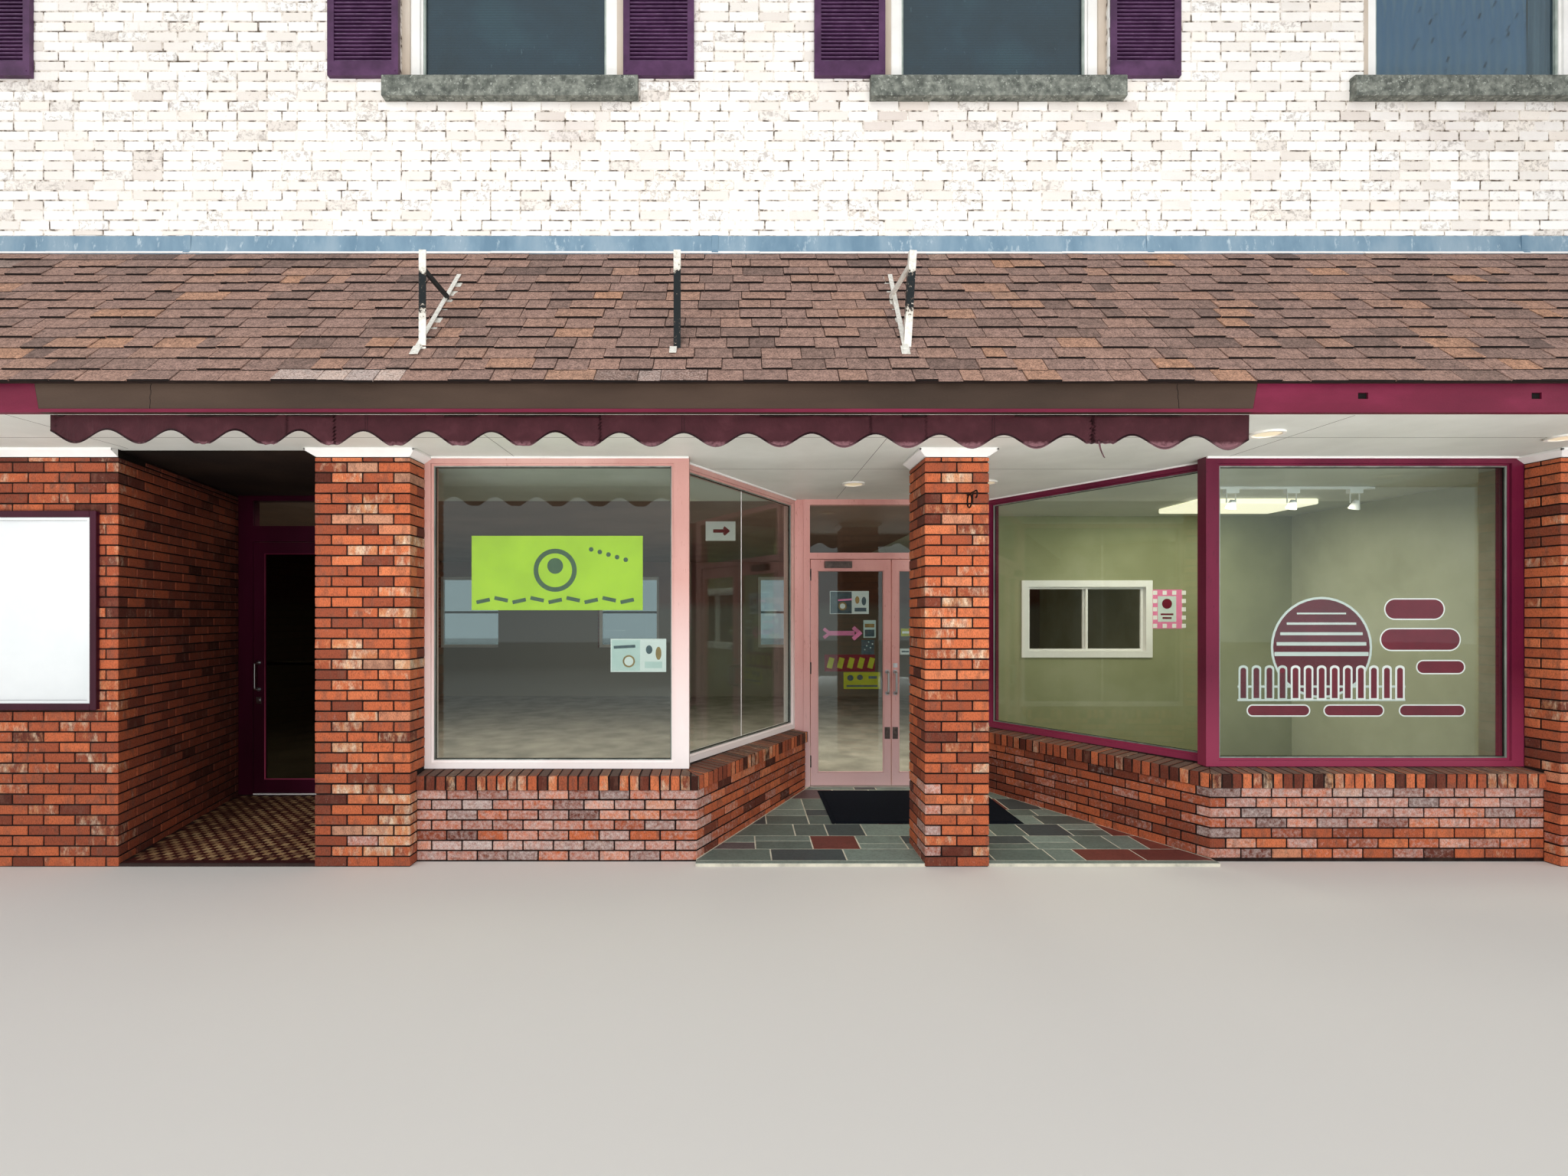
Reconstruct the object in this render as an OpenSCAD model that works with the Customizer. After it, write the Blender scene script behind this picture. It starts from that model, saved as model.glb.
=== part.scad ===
/* [Building] */
// Bricks along the street front
front_bricks = 68; // [66:2:72]
// Bricks along the depth
depth_bricks = 48; // [40:1:60]
// Courses from the ground to the parapet top
parapet_courses = 122; // [118:1:130]
// Length of a brick with its joint
brick = 203.2; // [200:0.1:206]
// Height of the upper floor
upper_floor_z = 4400; // [4200:50:4600]

/* [Shopfront] */
// Height of the soffit over the shopfront
soffit_z = 2727; // [2720:1:2760]
// How far the windows stand behind the piers
window_y = 215; // [200:1:300]
// Outer face of the double doors behind the piers
door_y = 1971; // [1900:1:2050]
// Outer face of the side door behind the piers
side_door_y = 1745; // [1700:1:1800]
// Height of the brick under the left show windows
left_bulk_h = 480; // [470:1:520]
// Height of the brick under the right show windows
right_bulk_h = 495; // [470:1:520]
// Width of one leaf of the double doors
leaf_w = 747; // [700:1:760]
// Width of the side door's leaf
side_leaf_w = 914; // [860:1:940]

/* [Pent roof] */
// How far the eave stands in front of the piers
eave_out = 826; // [700:1:900]
// Height of the fascia board
fascia_h = 169; // [140:1:200]
// Height at which the roof meets the wall
roof_top_z = 4117; // [4000:1:4200]

/* [Upper windows] */
// Opening width in bricks
window_bricks = 7.5; // [7:0.5:8]
// Opening height in courses
window_courses = 27; // [24:1:28]
// Width of a shutter
shutter_w = 480; // [420:5:480]
// Spacing of the shutter louvres
louvre_pitch = 26.4; // [24:0.2:40]

/* [Hidden] */
$fn = 48;

course = brick / 3;
half_w = front_bricks * brick / 2;
depth = depth_bricks * brick;
parapet_z = parapet_courses * course;
wall_t = 1.5 * brick;
front_t = 2 * brick;
upper_y = brick;

// Coping and the eave set the outline of the whole building
coping_h = 65;
coping_out = 40;
shingle_lip = 20;
y_min = -eave_out - shingle_lip;
y_max = depth + coping_out;
y_mid = (y_min + y_max) / 2;

// Piers and walls along the front, from the centre line
left_wall_end = -3481;
pier_x = -2186;
pier_w = 3 * brick;
pillar_x = 1794;
pillar_w = 2 * brick;
right_pier_x = half_w - 4.75 * brick;
pier_h = 39.5 * course;
trim_out = 50;
trim_edge = 16;

// Gap left where pieces meet along a slant or stand under the soffit
fit = 0.5;
under_soffit = soffit_z - fit;

// Bulkheads below the shop windows: front faces, then the angled returns to the doors
bulk_y = 100;
bulk_t = 300;
cap_h = 113;
cap_face = 92;
cap_out = 22;
cap_back = 185;
left_corner = [291, bulk_y];
left_end = [1190, 1900];
right_corner = [3720, bulk_y];
right_end = [2800, 1900];
floor_front_z = 20;
floor_back_z = 50;

// Window frames
frame_t = 56;
frame_d = 90;
left_foot_z = left_bulk_h + cap_h + fit;
right_foot_z = right_bulk_h + cap_h + fit;
rebate = 16;
head_rail = 60;
left_post_w = 120;
right_post_w = 101;
pier_post_w = 100;
slant_stile = 50;
right_lap = 80;
glass_t = 10;
glass_back = 40;

// Double doors
leaf_t = 44;
door_foot_z = 60;
door_head_z = 2166;
door_gap = 8;
meet_gap = 10;
doors_mid = 2002.5;
doors_l = doors_mid - meet_gap / 2 - leaf_w;
doors_r = doors_mid + meet_gap / 2 + leaf_w;
transom_z = 2172;
transom_h = 58;
stile_w = 64;
side_stile_w = 92;
jamb_casing_w = 79.5;
jamb_casing_step = 12;
top_rail = 100;
bottom_rail = 120;
pivot_out = 8;
barrel_r = 6;

// Side entry: a passage whose two walls run parallel
side_skew = -450;
side_floor_z = 30;
side_leaf_x = -3791;
side_foot_z = 45;
side_head_z = 2304;
side_transom_z = 2310;
side_transom_h = 140;
side_wall_t = 1.5 * brick;

// Upper storey
window_w = window_bricks * brick;
sill_z = 76 * course - 2.7;
sill_h = 150;
sill_w = window_w + brick;
head_z = sill_z + sill_h + window_courses * course;
window_mids = [-5471, -971, 2329, 5599];
shuttered = [-5471, -971, 2329];
soffit_t = 30;
board_t = 38;
band_z = soffit_z + soffit_t;
roof_slab_z = 7500;
slab_t = 200;
back_mids = [-4800, -1600, 1600, 4800];
back_window_w = 6 * brick;
back_sill_z = 15 * course;
back_head_z = 36 * course;

// A block between two opposite corners
module block(a, b) {
  translate(a) cube(b - a);
}

// Everything is drawn from the pier line, then centred over the ground
module placed() {
  translate([0, -y_mid, 0]) children();
}

// A prism over a floor plan
module prism(points, z0, z1) {
  translate([0, 0, z0]) linear_extrude(z1 - z0) polygon(points);
}

// Plan geometry: unit direction, the normal to its left, and a point of a line at a given y
function unit(v) = v / norm(v);
function left_of(from, to) = unit([from[1] - to[1], to[0] - from[0]]);
function mitre(a, b, c) = unit(left_of(a, b) + left_of(b, c));
function at_y(from, to, y) = [from[0] + (to[0] - from[0]) * (y - from[1]) / (to[1] - from[1]), y];

// A run of one profile between two plan points, cut at each end along the direction given
// there; the profile's x points to the left of the run and its y up
module run(from, to, cut_from, cut_to) {
  spare = 500;
  reach = 900;
  length = norm(to - from);
  angle = atan2(to[1] - from[1], to[0] - from[0]);
  intersection() {
    translate([from[0], from[1], 0]) rotate([0, 0, angle]) translate([-spare, 0, 0])
      rotate([90, 0, 90]) linear_extrude(length + 2 * spare) children();
    prism([from - reach * cut_from, to - reach * cut_to, to + reach * cut_to,
      from + reach * cut_from], -1, soffit_z + 1);
  }
}

// A rectangular frame standing in the XZ plane, with one clear opening; a step is a rebate
// cut round the opening's front edge
module frame(w, h, d, left, right, bottom, top, step = 0) {
  difference() {
    cube([w, d, h]);
    translate([left, -1, bottom]) cube([w - left - right, d + 2, h - bottom - top]);
    if (step > 0) translate([left - step, -1, bottom - step])
      cube([w - left - right + 2 * step, step + 1, h - bottom - top + 2 * step]);
  }
}

// The bulkheads' inner faces bound the floor
left_inner = [for (p = [left_corner, left_end])
  p + (bulk_t + fit) * left_of(left_corner, left_end)];
right_inner = [for (p = [right_end, right_corner])
  p + (bulk_t + fit) * left_of(right_end, right_corner)];

module ground_slab() {
  door_back = door_y + fit;
  side_back = side_door_y + frame_d;
  recess_back = left_end[1] + fit;
  color("gray") placed() prism([
    [-half_w + wall_t, front_t], [splay_x(front_t) - side_wall_t, front_t],
    [splay_x(side_door_y) - side_wall_t, side_back], [pier_side_x(side_door_y) + side_wall_t, side_back],
    [pier_side_x(front_t) + side_wall_t, front_t], at_y(left_inner[0], left_inner[1], front_t),
    at_y(left_inner[0], left_inner[1], recess_back), [left_end[0], recess_back],
    [left_end[0], door_back], [right_end[0], door_back], [right_end[0], recess_back],
    at_y(right_inner[0], right_inner[1], recess_back), at_y(right_inner[0], right_inner[1], front_t),
    [half_w - wall_t, front_t], [half_w - wall_t, depth - wall_t],
    [-half_w + wall_t, depth - wall_t]], 0, floor_back_z);
}

module slate_floor() {
  color("slategray") placed() intersection() {
    difference() {
      prism([[left_corner[0] + fit, 0], [right_corner[0] - fit, 0], right_corner - [fit, 0],
        right_end - [fit, 0], [right_end[0] - fit, door_y], [left_end[0] + fit, door_y],
        left_end + [fit, 0], left_corner + [fit, 0]], 0, 200);
      block([pillar_x, -1, -1], [pillar_x + pillar_w, pillar_w, 300]);
    }
    rotate([90, 0, 90]) translate([0, 0, -half_w]) linear_extrude(2 * half_w)
      polygon([[0, 0], [door_y, 0], [door_y, floor_back_z], [0, floor_front_z]]);
  }
}

module tile_floor() {
  color("tan") placed() intersection() {
    prism([[left_wall_end + fit, 0], [pier_x - fit, 0], [pier_x - fit, front_t],
      [pier_side_x(side_door_y) - fit, side_door_y - fit],
      [splay_x(side_door_y) + fit, side_door_y - fit]], 0, 200);
    rotate([90, 0, 90]) translate([0, 0, -half_w]) linear_extrude(2 * half_w)
      polygon([[0, 0], [side_door_y, 0], [side_door_y, side_floor_z], [0, floor_front_z]]);
  }
}

module left_front_wall() {
  color("sienna") placed() prism([[-half_w, 0], [left_wall_end, 0], [splay_x(front_t), front_t],
    [-half_w, front_t]], 0, pier_h);
}

// Both walls of the side passage lean the same way
function splay_x(y) = left_wall_end + side_skew * y / side_door_y;
function pier_side_x(y) = pier_x + side_skew * (y - front_t) / (side_door_y - front_t);

module splayed_entry_wall() {
  color("sienna") placed() prism([
    [splay_x(front_t), front_t], [splay_x(side_door_y), side_door_y],
    [splay_x(side_door_y), side_door_y + frame_d],
    [splay_x(side_door_y) - side_wall_t, side_door_y + frame_d],
    [splay_x(front_t) - side_wall_t, front_t]], 0, soffit_z);
}

module entry_pier() {
  color("sienna") placed() block([pier_x, 0, 0], [pier_x + pier_w, front_t, pier_h]);
}

module entry_side_wall() {
  color("sienna") placed() prism([
    [pier_side_x(front_t), front_t], [pier_side_x(front_t) + side_wall_t, front_t],
    [pier_side_x(side_door_y) + side_wall_t, side_door_y + frame_d],
    [pier_side_x(side_door_y), side_door_y + frame_d],
    [pier_side_x(side_door_y), side_door_y]], 0, soffit_z);
}

module middle_pillar() {
  color("sienna") placed() block([pillar_x, 0, 0], [pillar_x + pillar_w, pillar_w, pier_h]);
}

module right_pier() {
  color("sienna") placed() block([right_pier_x, 0, 0], [half_w, front_t, pier_h]);
}

// A crown trim flares from the brick out to the soffit, at its left and right ends too
// where these are 1
module crown(x0, x1, y0, y1, left, right) {
  l = left * trim_out;
  r = right * trim_out;
  edge_z = under_soffit - trim_edge;
  intersection() {
    translate([0, y1, 0]) rotate([90, 0, 0]) linear_extrude(y1 - y0 + 2 * trim_out)
      polygon([[x0, pier_h], [x1, pier_h], [x1 + r, edge_z], [x1 + r, under_soffit],
        [x0 - l, under_soffit], [x0 - l, edge_z]]);
    rotate([90, 0, 90]) translate([0, 0, x0 - trim_out]) linear_extrude(x1 - x0 + 2 * trim_out)
      polygon([[y0, pier_h], [y1, pier_h], [y1, under_soffit], [y0 - trim_out, under_soffit],
        [y0 - trim_out, edge_z]]);
  }
}

module pier_trims() {
  color("white") placed() {
    intersection() {
      crown(-half_w, left_wall_end, 0, front_t, 0, 0);
      prism([[-half_w - 1, -2 * trim_out], [left_wall_end, -2 * trim_out], [left_wall_end, 0],
        [splay_x(front_t) - fit, front_t], [-half_w - 1, front_t]], 0, soffit_z);
    }
    crown(pier_x, pier_x + pier_w, 0, window_y, 1, 1);
    block([pier_x, window_y - 1, pier_h], [pier_x + pier_w, front_t, under_soffit]);
    crown(pillar_x, pillar_x + pillar_w, 0, pillar_w, 1, 1);
    crown(right_pier_x, half_w, 0, window_y, 1, 0);
    block([right_pier_x, window_y - 1, pier_h], [half_w, front_t, under_soffit]);
  }
}

// Brick with a rowlock cap that leans up to the window frame
module bulkhead_profile(brick_h) {
  polygon([[0, 0], [bulk_t, 0], [bulk_t, brick_h + cap_h], [cap_back, brick_h + cap_h],
    [-cap_out, brick_h + cap_face], [-cap_out, brick_h], [0, brick_h]]);
}

module front_bulkheads() {
  pier_edge = [pier_x + pier_w, bulk_y];
  right_edge = [right_pier_x, bulk_y];
  color("firebrick") placed() {
    run(pier_edge, left_corner, [0, 1], mitre(pier_edge, left_corner, left_end))
      bulkhead_profile(left_bulk_h);
    run(right_corner, right_edge, mitre(right_end, right_corner, right_edge), [0, 1])
      bulkhead_profile(right_bulk_h);
  }
}

module angled_bulkheads() {
  color("firebrick") placed() {
    run(left_corner, left_end, mitre([pier_x, bulk_y], left_corner, left_end), [-1, 0])
      bulkhead_profile(left_bulk_h);
    run(right_end, right_corner, [1, 0], mitre(right_end, right_corner, [right_pier_x, bulk_y]))
      bulkhead_profile(right_bulk_h);
  }
}

// Corners of the glass line, behind the brick faces
left_glass_x = 174;
right_glass_x = 3849;
frame_end_l = doors_l - door_gap - 60;
frame_end_r = doors_r + door_gap + 60;

module left_window_frame() {
  color("pink") placed() translate([pier_x + pier_w, window_y, left_foot_z])
    frame(left_glass_x + head_rail - pier_x - pier_w, under_soffit - left_foot_z, frame_d,
      head_rail, left_post_w, frame_t, head_rail, rebate);
}

module right_window_frame() {
  color("maroon") placed() translate([right_glass_x - right_lap, window_y, right_foot_z])
    frame(right_pier_x - right_glass_x + right_lap, under_soffit - right_foot_z, frame_d,
      right_post_w, pier_post_w, frame_t, head_rail, rebate);
}

// A frame on a slanting line, whose left side is the inside of the shop
module angled_frame(slant, foot_z) {
  along = slant[1] - slant[0];
  translate([slant[0][0], slant[0][1], foot_z]) rotate([0, 0, atan2(along[1], along[0])])
    frame(norm(along), under_soffit - foot_z, frame_d, slant_stile, slant_stile, frame_t,
      head_rail, rebate);
}

left_slant = [[left_glass_x, window_y + frame_d + 10], [frame_end_l - jamb_casing_w - fit, door_y]];
right_slant = [[frame_end_r + jamb_casing_w + fit, door_y], [right_glass_x + 20, window_y + frame_d + 10]];

module left_angled_frame() {
  color("pink") placed() angled_frame(left_slant, left_foot_z);
}

module right_angled_frame() {
  color("maroon") placed() angled_frame(right_slant, right_foot_z);
}

module angled_pane(slant, foot_z) {
  along = slant[1] - slant[0];
  translate([slant[0][0], slant[0][1], 0]) rotate([0, 0, atan2(along[1], along[0])])
    block([slant_stile + fit, glass_back, foot_z + frame_t + fit],
      [norm(along) - slant_stile - fit, glass_back + glass_t, under_soffit - head_rail - fit]);
}

module shopfront_glass() {
  color("lightblue", 0.4) placed() {
    block([pier_x + pier_w + head_rail, window_y + glass_back, left_foot_z + frame_t],
      [left_glass_x + head_rail - left_post_w, window_y + glass_back + glass_t,
        under_soffit - head_rail]);
    block([right_glass_x - right_lap + right_post_w, window_y + glass_back, right_foot_z + frame_t],
      [right_pier_x - pier_post_w, window_y + glass_back + glass_t, under_soffit - head_rail]);
    angled_pane(left_slant, left_foot_z);
    angled_pane(right_slant, right_foot_z);
    block([doors_l - door_gap, door_y + 20, transom_z + transom_h],
      [doors_r + door_gap, door_y + 30, soffit_z - 50]);
    block([side_leaf_x - door_gap, side_door_y + 20, side_transom_z + side_transom_h],
      [side_leaf_x + side_leaf_w + door_gap, side_door_y + 30, soffit_z - 50]);
  }
}

// The jambs of the double doors, with a casing beside each that stands back a little
module entry_frame() {
  outer_l = frame_end_l - jamb_casing_w;
  face_y = door_y - 10;
  back_y = face_y + frame_d;
  inner_l = doors_l - door_gap;
  inner_r = doors_r + door_gap;
  color("pink") placed() difference() {
    block([outer_l, face_y, floor_back_z], [frame_end_r + jamb_casing_w, back_y, under_soffit]);
    block([inner_l, face_y - 1, 0], [inner_r, back_y + 1, transom_z]);
    block([inner_l, face_y - 1, transom_z + transom_h], [inner_r, back_y + 1, soffit_z - 50]);
    for (x = [outer_l, frame_end_r])
      block([x - fit, face_y - 1, 0], [x + jamb_casing_w + fit, face_y + jamb_casing_step, soffit_z]);
  }
}

// A glazed door leaf with its hinge edge at x = 0
module leaf(w, z0, z1, stile) {
  translate([0, 0, z0]) frame(w, z1 - z0, leaf_t, stile, stile, bottom_rail, top_rail);
}

module leaf_pane(w, z0, z1, stile) {
  block([stile, leaf_t / 2 - 4, z0 + bottom_rail], [w - stile, leaf_t / 2 + 4, z1 - top_rail]);
}

// Hinge knuckles on the pivot line at x = 0, screwed to the face of a leaf that lies to the
// right of them, or to the left where side is -1
module hinges(side) {
  for (z = [230, 1100, 1970]) {
    translate([0, -pivot_out, z]) cylinder(h = 110, r = barrel_r);
    block([side > 0 ? 0 : -32, -3, z], [side > 0 ? 32 : 0, 0, z + 110]);
    block([side > 0 ? 0 : -3, -pivot_out, z], [side > 0 ? 3 : 0, 0, z + 110]);
  }
}

module left_door_leaf() {
  color("pink") placed() translate([doors_l, door_y, 0]) leaf(leaf_w, door_foot_z, door_head_z, stile_w);
}

module left_door_glass() {
  color("lightblue", 0.4) placed() translate([doors_l, door_y, 0])
    leaf_pane(leaf_w, door_foot_z, door_head_z, stile_w);
}

module right_door_leaf() {
  color("pink") placed() translate([doors_r - leaf_w, door_y, 0])
    leaf(leaf_w, door_foot_z, door_head_z, stile_w);
}

module right_door_glass() {
  color("lightblue", 0.4) placed() translate([doors_r - leaf_w, door_y, 0])
    leaf_pane(leaf_w, door_foot_z, door_head_z, stile_w);
}

// An offset pull, a bent bar whose two ends stand on a door face at y = 0
module pull(z0, z1, reach, r) {
  bend = 2 * r;
  translate([0, -reach, z0 + bend]) cylinder(h = z1 - z0 - 2 * bend, r = r);
  for (side = [-1, 1]) {
    z = side < 0 ? z0 : z1;
    translate([0, 0, z]) rotate([90, 0, 0]) cylinder(h = reach - bend, r = r);
    translate([0, bend - reach, z - side * bend]) rotate([0, -90, 0])
      rotate([0, 0, side < 0 ? 180 : 270]) rotate_extrude(angle = 90) translate([bend, 0]) circle(r);
    translate([0, 0, z]) rotate([90, 0, 0]) cylinder(h = 4, r = 2 * r);
  }
}

// A lock plate with its cylinder
module lock_plate(z, w, h) {
  block([-w / 2, -3, z - h / 2], [w / 2, 0, z + h / 2]);
  translate([0, 0, z]) rotate([90, 0, 0]) cylinder(h = 12, r = 14);
}

module left_door_hardware() {
  color("silver") placed() translate([doors_l + leaf_w - stile_w / 2, door_y, 0]) {
    pull(920, 1120, 55, 10);
    lock_plate(550, 50, 110);
    translate([-leaf_w + 160, 0, 0]) block([0, -60, door_head_z - 80], [250, 0, door_head_z - 20]);
    translate([stile_w / 2 - leaf_w, 0, 0]) hinges(1);
  }
}

module right_door_hardware() {
  color("silver") placed() translate([doors_r - leaf_w + stile_w / 2, door_y, 0]) {
    pull(920, 1120, 55, 10);
    lock_plate(550, 50, 110);
    lock_plate(1180, 40, 40);
    translate([leaf_w - stile_w / 2, 0, 0]) hinges(-1);
  }
}

module side_door_frame() {
  x0 = splay_x(side_door_y);
  x1 = pier_side_x(side_door_y);
  lx = side_leaf_x - door_gap;
  rx = side_leaf_x + side_leaf_w + door_gap;
  color("maroon") placed() difference() {
    block([x0 + fit, side_door_y, side_floor_z], [x1 - fit, side_door_y + frame_d, under_soffit]);
    block([lx, side_door_y - 20, 0], [rx, side_door_y + 2 * frame_d, side_transom_z]);
    block([lx, side_door_y - 20, side_transom_z + side_transom_h],
      [rx, side_door_y + 2 * frame_d, soffit_z - 50]);
  }
}

module side_door_leaf() {
  color("maroon") placed() translate([side_leaf_x, side_door_y, 0])
    leaf(side_leaf_w, side_foot_z, side_head_z, side_stile_w);
}

module side_door_glass() {
  color("lightblue", 0.4) placed() translate([side_leaf_x, side_door_y, 0])
    leaf_pane(side_leaf_w, side_foot_z, side_head_z, side_stile_w);
}

module side_door_hardware() {
  color("silver") placed() translate([side_leaf_x + side_stile_w / 2, side_door_y, 0]) {
    pull(980, 1220, 55, 10);
    lock_plate(880, 46, 60);
    translate([-side_stile_w / 2, leaf_t, 0]) block([60, 0, 1195], [side_leaf_w - 60, 45, 1225]);
    translate([side_leaf_w - side_stile_w / 2, 0, 0]) hinges(-1);
  }
}

// Thresholds under the doors
sill_t = 5;

module door_sills() {
  color("lightgray") placed() {
    block([doors_l - door_gap + fit, door_y - 40, floor_back_z + fit],
      [doors_r + door_gap - fit, door_y + 60, floor_back_z + sill_t]);
    block([side_leaf_x - door_gap + fit, side_door_y + fit, 0],
      [side_leaf_x + side_leaf_w + door_gap - fit, side_door_y + frame_d - fit,
        side_foot_z - sill_t]);
  }
}

module soffit() {
  color("white") placed() prism([[-half_w, -eave_out + board_t], [half_w, -eave_out + board_t],
    [half_w, front_t], [half_w - wall_t, front_t], [half_w - wall_t, door_y + frame_d],
    [-half_w + wall_t, door_y + frame_d], [-half_w + wall_t, front_t], [-half_w, front_t]],
    soffit_z, band_z);
}

light_spots = [[1519, 1180], [2579, 1117], [3719, -404], [5599, -320]];

module soffit_lights() {
  color("white") placed() for (spot = light_spots) translate([spot[0], spot[1], soffit_z - 12])
    difference() {
      cylinder(h = 12, r = 93);
      translate([0, 0, -1]) cylinder(h = 8, r = 75);
    }
}

// Three lengths of board: the middle one is cut back at a slant and has a strip along its foot
fascia_joints = [-3191, 3339];
fascia_slant = 14;
strip_h = 18;
strip_out = 6;
fixing_holes = [3889, 4819];

module fascia_board(foot, head) {
  translate([0, -eave_out + board_t, 0]) rotate([90, 0, 0]) linear_extrude(board_t)
    polygon([[foot[0], soffit_z], [foot[1], soffit_z], [head[1], soffit_z + fascia_h],
      [head[0], soffit_z + fascia_h]]);
}

module fascia() {
  l = fascia_joints[0];
  r = fascia_joints[1];
  s = fascia_slant;
  color("maroon") placed() {
    fascia_board([-half_w, l + s - 1], [-half_w, l - s - 1]);
    fascia_board([l + s, r - s], [l - s, r + s]);
    difference() {
      fascia_board([r - s + 1, half_w], [r + s + 1, half_w]);
      for (x = fixing_holes) block([x, -eave_out - 1, soffit_z + 72], [x + 54, -eave_out + 12,
        soffit_z + 106]);
    }
    block([l + s, -eave_out - strip_out, soffit_z], [r - s, -eave_out + 1, soffit_z + strip_h]);
  }
}

// The roof's upper surface is one plane from the shingles' lip to the wall
eave_z = soffit_z + fascia_h;
roof_rise = (roof_top_z - eave_z) / (upper_y + eave_out + shingle_lip);
function roof_z(y) = eave_z + (y + eave_out + shingle_lip) * roof_rise;

module roof_ends() {
  color("maroon") placed() for (x = [-half_w, half_w - 25])
    translate([x, 0, 0]) rotate([90, 0, 90]) linear_extrude(25)
      polygon([[-eave_out + board_t, band_z], [upper_y, band_z], [upper_y, roof_z(upper_y) - 80],
        [-eave_out + board_t, roof_z(-eave_out + board_t) - 80]]);
}

valance_l = -3161;
valance_r = 3339;
valance_w = valance_r - valance_l;
dips = 19;
first_dip = 106;
scallop = 347.2;
crest_z = 2652;
dip_z = 2552;
hem_fall = 26;
// The hem runs in even waves and sags to the right; s is the distance from its left end
function hem_z(s) = dip_z - hem_fall * s / valance_w
  + (crest_z - dip_z) * (1 - cos(360 * (s - first_dip) / scallop)) / 2;
hem = [for (s = concat([0], [for (i = [-3 : 12 * (dips - 1) + 4]) first_dip + i * scallop / 12],
  [valance_w])) [valance_l + s, hem_z(s)]];

valance_t = 8;

module valance() {
  color("purple") placed() translate([0, -eave_out + board_t + 2 + valance_t, 0])
    rotate([90, 0, 0]) linear_extrude(valance_t)
      polygon(concat(hem, [[valance_r, under_soffit], [valance_l, under_soffit]]));
}

roof_t = 45;
lip_t = 15;

module pent_roof() {
  color("saddlebrown") placed() translate([-half_w, 0, 0]) rotate([90, 0, 90])
    linear_extrude(2 * half_w) polygon([[-eave_out - shingle_lip, eave_z - lip_t],
      [-eave_out, eave_z - lip_t], [-eave_out, eave_z], [-eave_out + board_t, eave_z],
      [upper_y, roof_z(upper_y) - roof_t], [upper_y, roof_z(upper_y)],
      [-eave_out - shingle_lip, eave_z]]);
}

flashing_up = 110;
flashing_t = 4;

flange = 22;

module roof_flashing() {
  color("lightsteelblue") placed() translate([-half_w, 0, 0]) rotate([90, 0, 90])
    linear_extrude(2 * half_w) polygon([[upper_y, roof_top_z], [upper_y, roof_top_z + flashing_up],
      [upper_y - flashing_t, roof_top_z + flashing_up],
      [upper_y - 12, roof_top_z + 10], [upper_y - flange, roof_z(upper_y - flange) + 10],
      [upper_y - flange, roof_z(upper_y - flange)]]);
}

// Place of each bracket along the roof, lean of its post, and whether it kept its rail and tie
brackets = [[-1228, 0, true], [205, 0, false], [1500, 3.4, true]];
bracket_y = -640;
bracket_h = 560;
rail_l = 910;
tie_post = 0.82;
tie_rail = 0.65;
tie_w = 15;
angle_w = 40;
angle_t = 5;

// A steel angle along +Z
module steel_angle(h) {
  linear_extrude(h) polygon([[0, 0], [angle_w, 0], [angle_w, angle_t], [angle_t, angle_t],
    [angle_t, angle_w], [0, angle_w]]);
}

roof_angle = atan(roof_rise);

// A post, a rail up the roof and a tie between them
module sign_bracket(lean, braced) {
  foot_z = roof_z(bracket_y) + fit;
  tie_high = [0, tie_post * bracket_h];
  tie_low = tie_rail * rail_l * [cos(roof_angle), sin(roof_angle)];
  tie_fall = atan2(tie_low[1] - tie_high[1], tie_low[0]);
  tie_shift = tie_high[1] * tan(lean);
  difference() {
    translate([0, bracket_y, foot_z]) rotate([0, lean, 0])
      translate([0, 0, -60]) steel_angle(bracket_h + 60);
    rotate([90, 0, 90]) translate([0, 0, -10]) linear_extrude(angle_w + 20)
      polygon([[-2000, roof_z(-2000) + fit], [2000, roof_z(2000) + fit], [2000, 0], [-2000, 0]]);
  }
  if (braced) {
    translate([0, bracket_y, foot_z]) rotate([roof_angle, 0, 0]) cube([angle_w, rail_l, angle_t]);
    translate([tie_shift, bracket_y, foot_z + tie_high[1]])
      rotate([tie_fall, 0, atan2(tie_shift, tie_low[0])])
        cube([tie_w, norm(tie_low - tie_high) - 3, 30]);
  }
}

module sign_brackets() {
  color("dimgray") placed() for (b = brackets) translate([b[0], 0, 0]) sign_bracket(b[1], b[2]);
}

module upper_wall_bands() {
  color("white") placed() {
    block([-half_w, upper_y, band_z], [half_w, front_t, sill_z]);
    block([-half_w, upper_y, head_z], [half_w, front_t, parapet_z]);
  }
}

module upper_wall_piers() {
  edges = concat([-half_w], [for (m = window_mids) each [m - window_w / 2, m + window_w / 2]],
    [half_w]);
  color("white") placed() for (i = [0 : 2 : len(edges) - 2])
    block([edges[i], upper_y, sill_z], [edges[i + 1], front_t, head_z]);
}

// A stone sill whose top falls to the front
module upper_sills() {
  color("darkslategray") placed() for (m = window_mids) {
    block([m - window_w / 2, upper_y, sill_z], [m + window_w / 2, front_t, sill_z + sill_h - 40]);
    translate([m - sill_w / 2, 0, 0]) rotate([90, 0, 90]) linear_extrude(sill_w)
      polygon([[upper_y - 60, sill_z], [upper_y, sill_z], [upper_y, sill_z + sill_h],
        [upper_y - 52, sill_z + sill_h - 6], [upper_y - 60, sill_z + sill_h - 16]]);
  }
}

// A wooden casing outside, then the frame of two sliding sashes inside it
casing_w = 52;
pane_in = 130;
pane_foot = 70;
pane_head = 90;
window_foot_z = sill_z + sill_h - 40;
window_h = head_z - window_foot_z;

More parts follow.
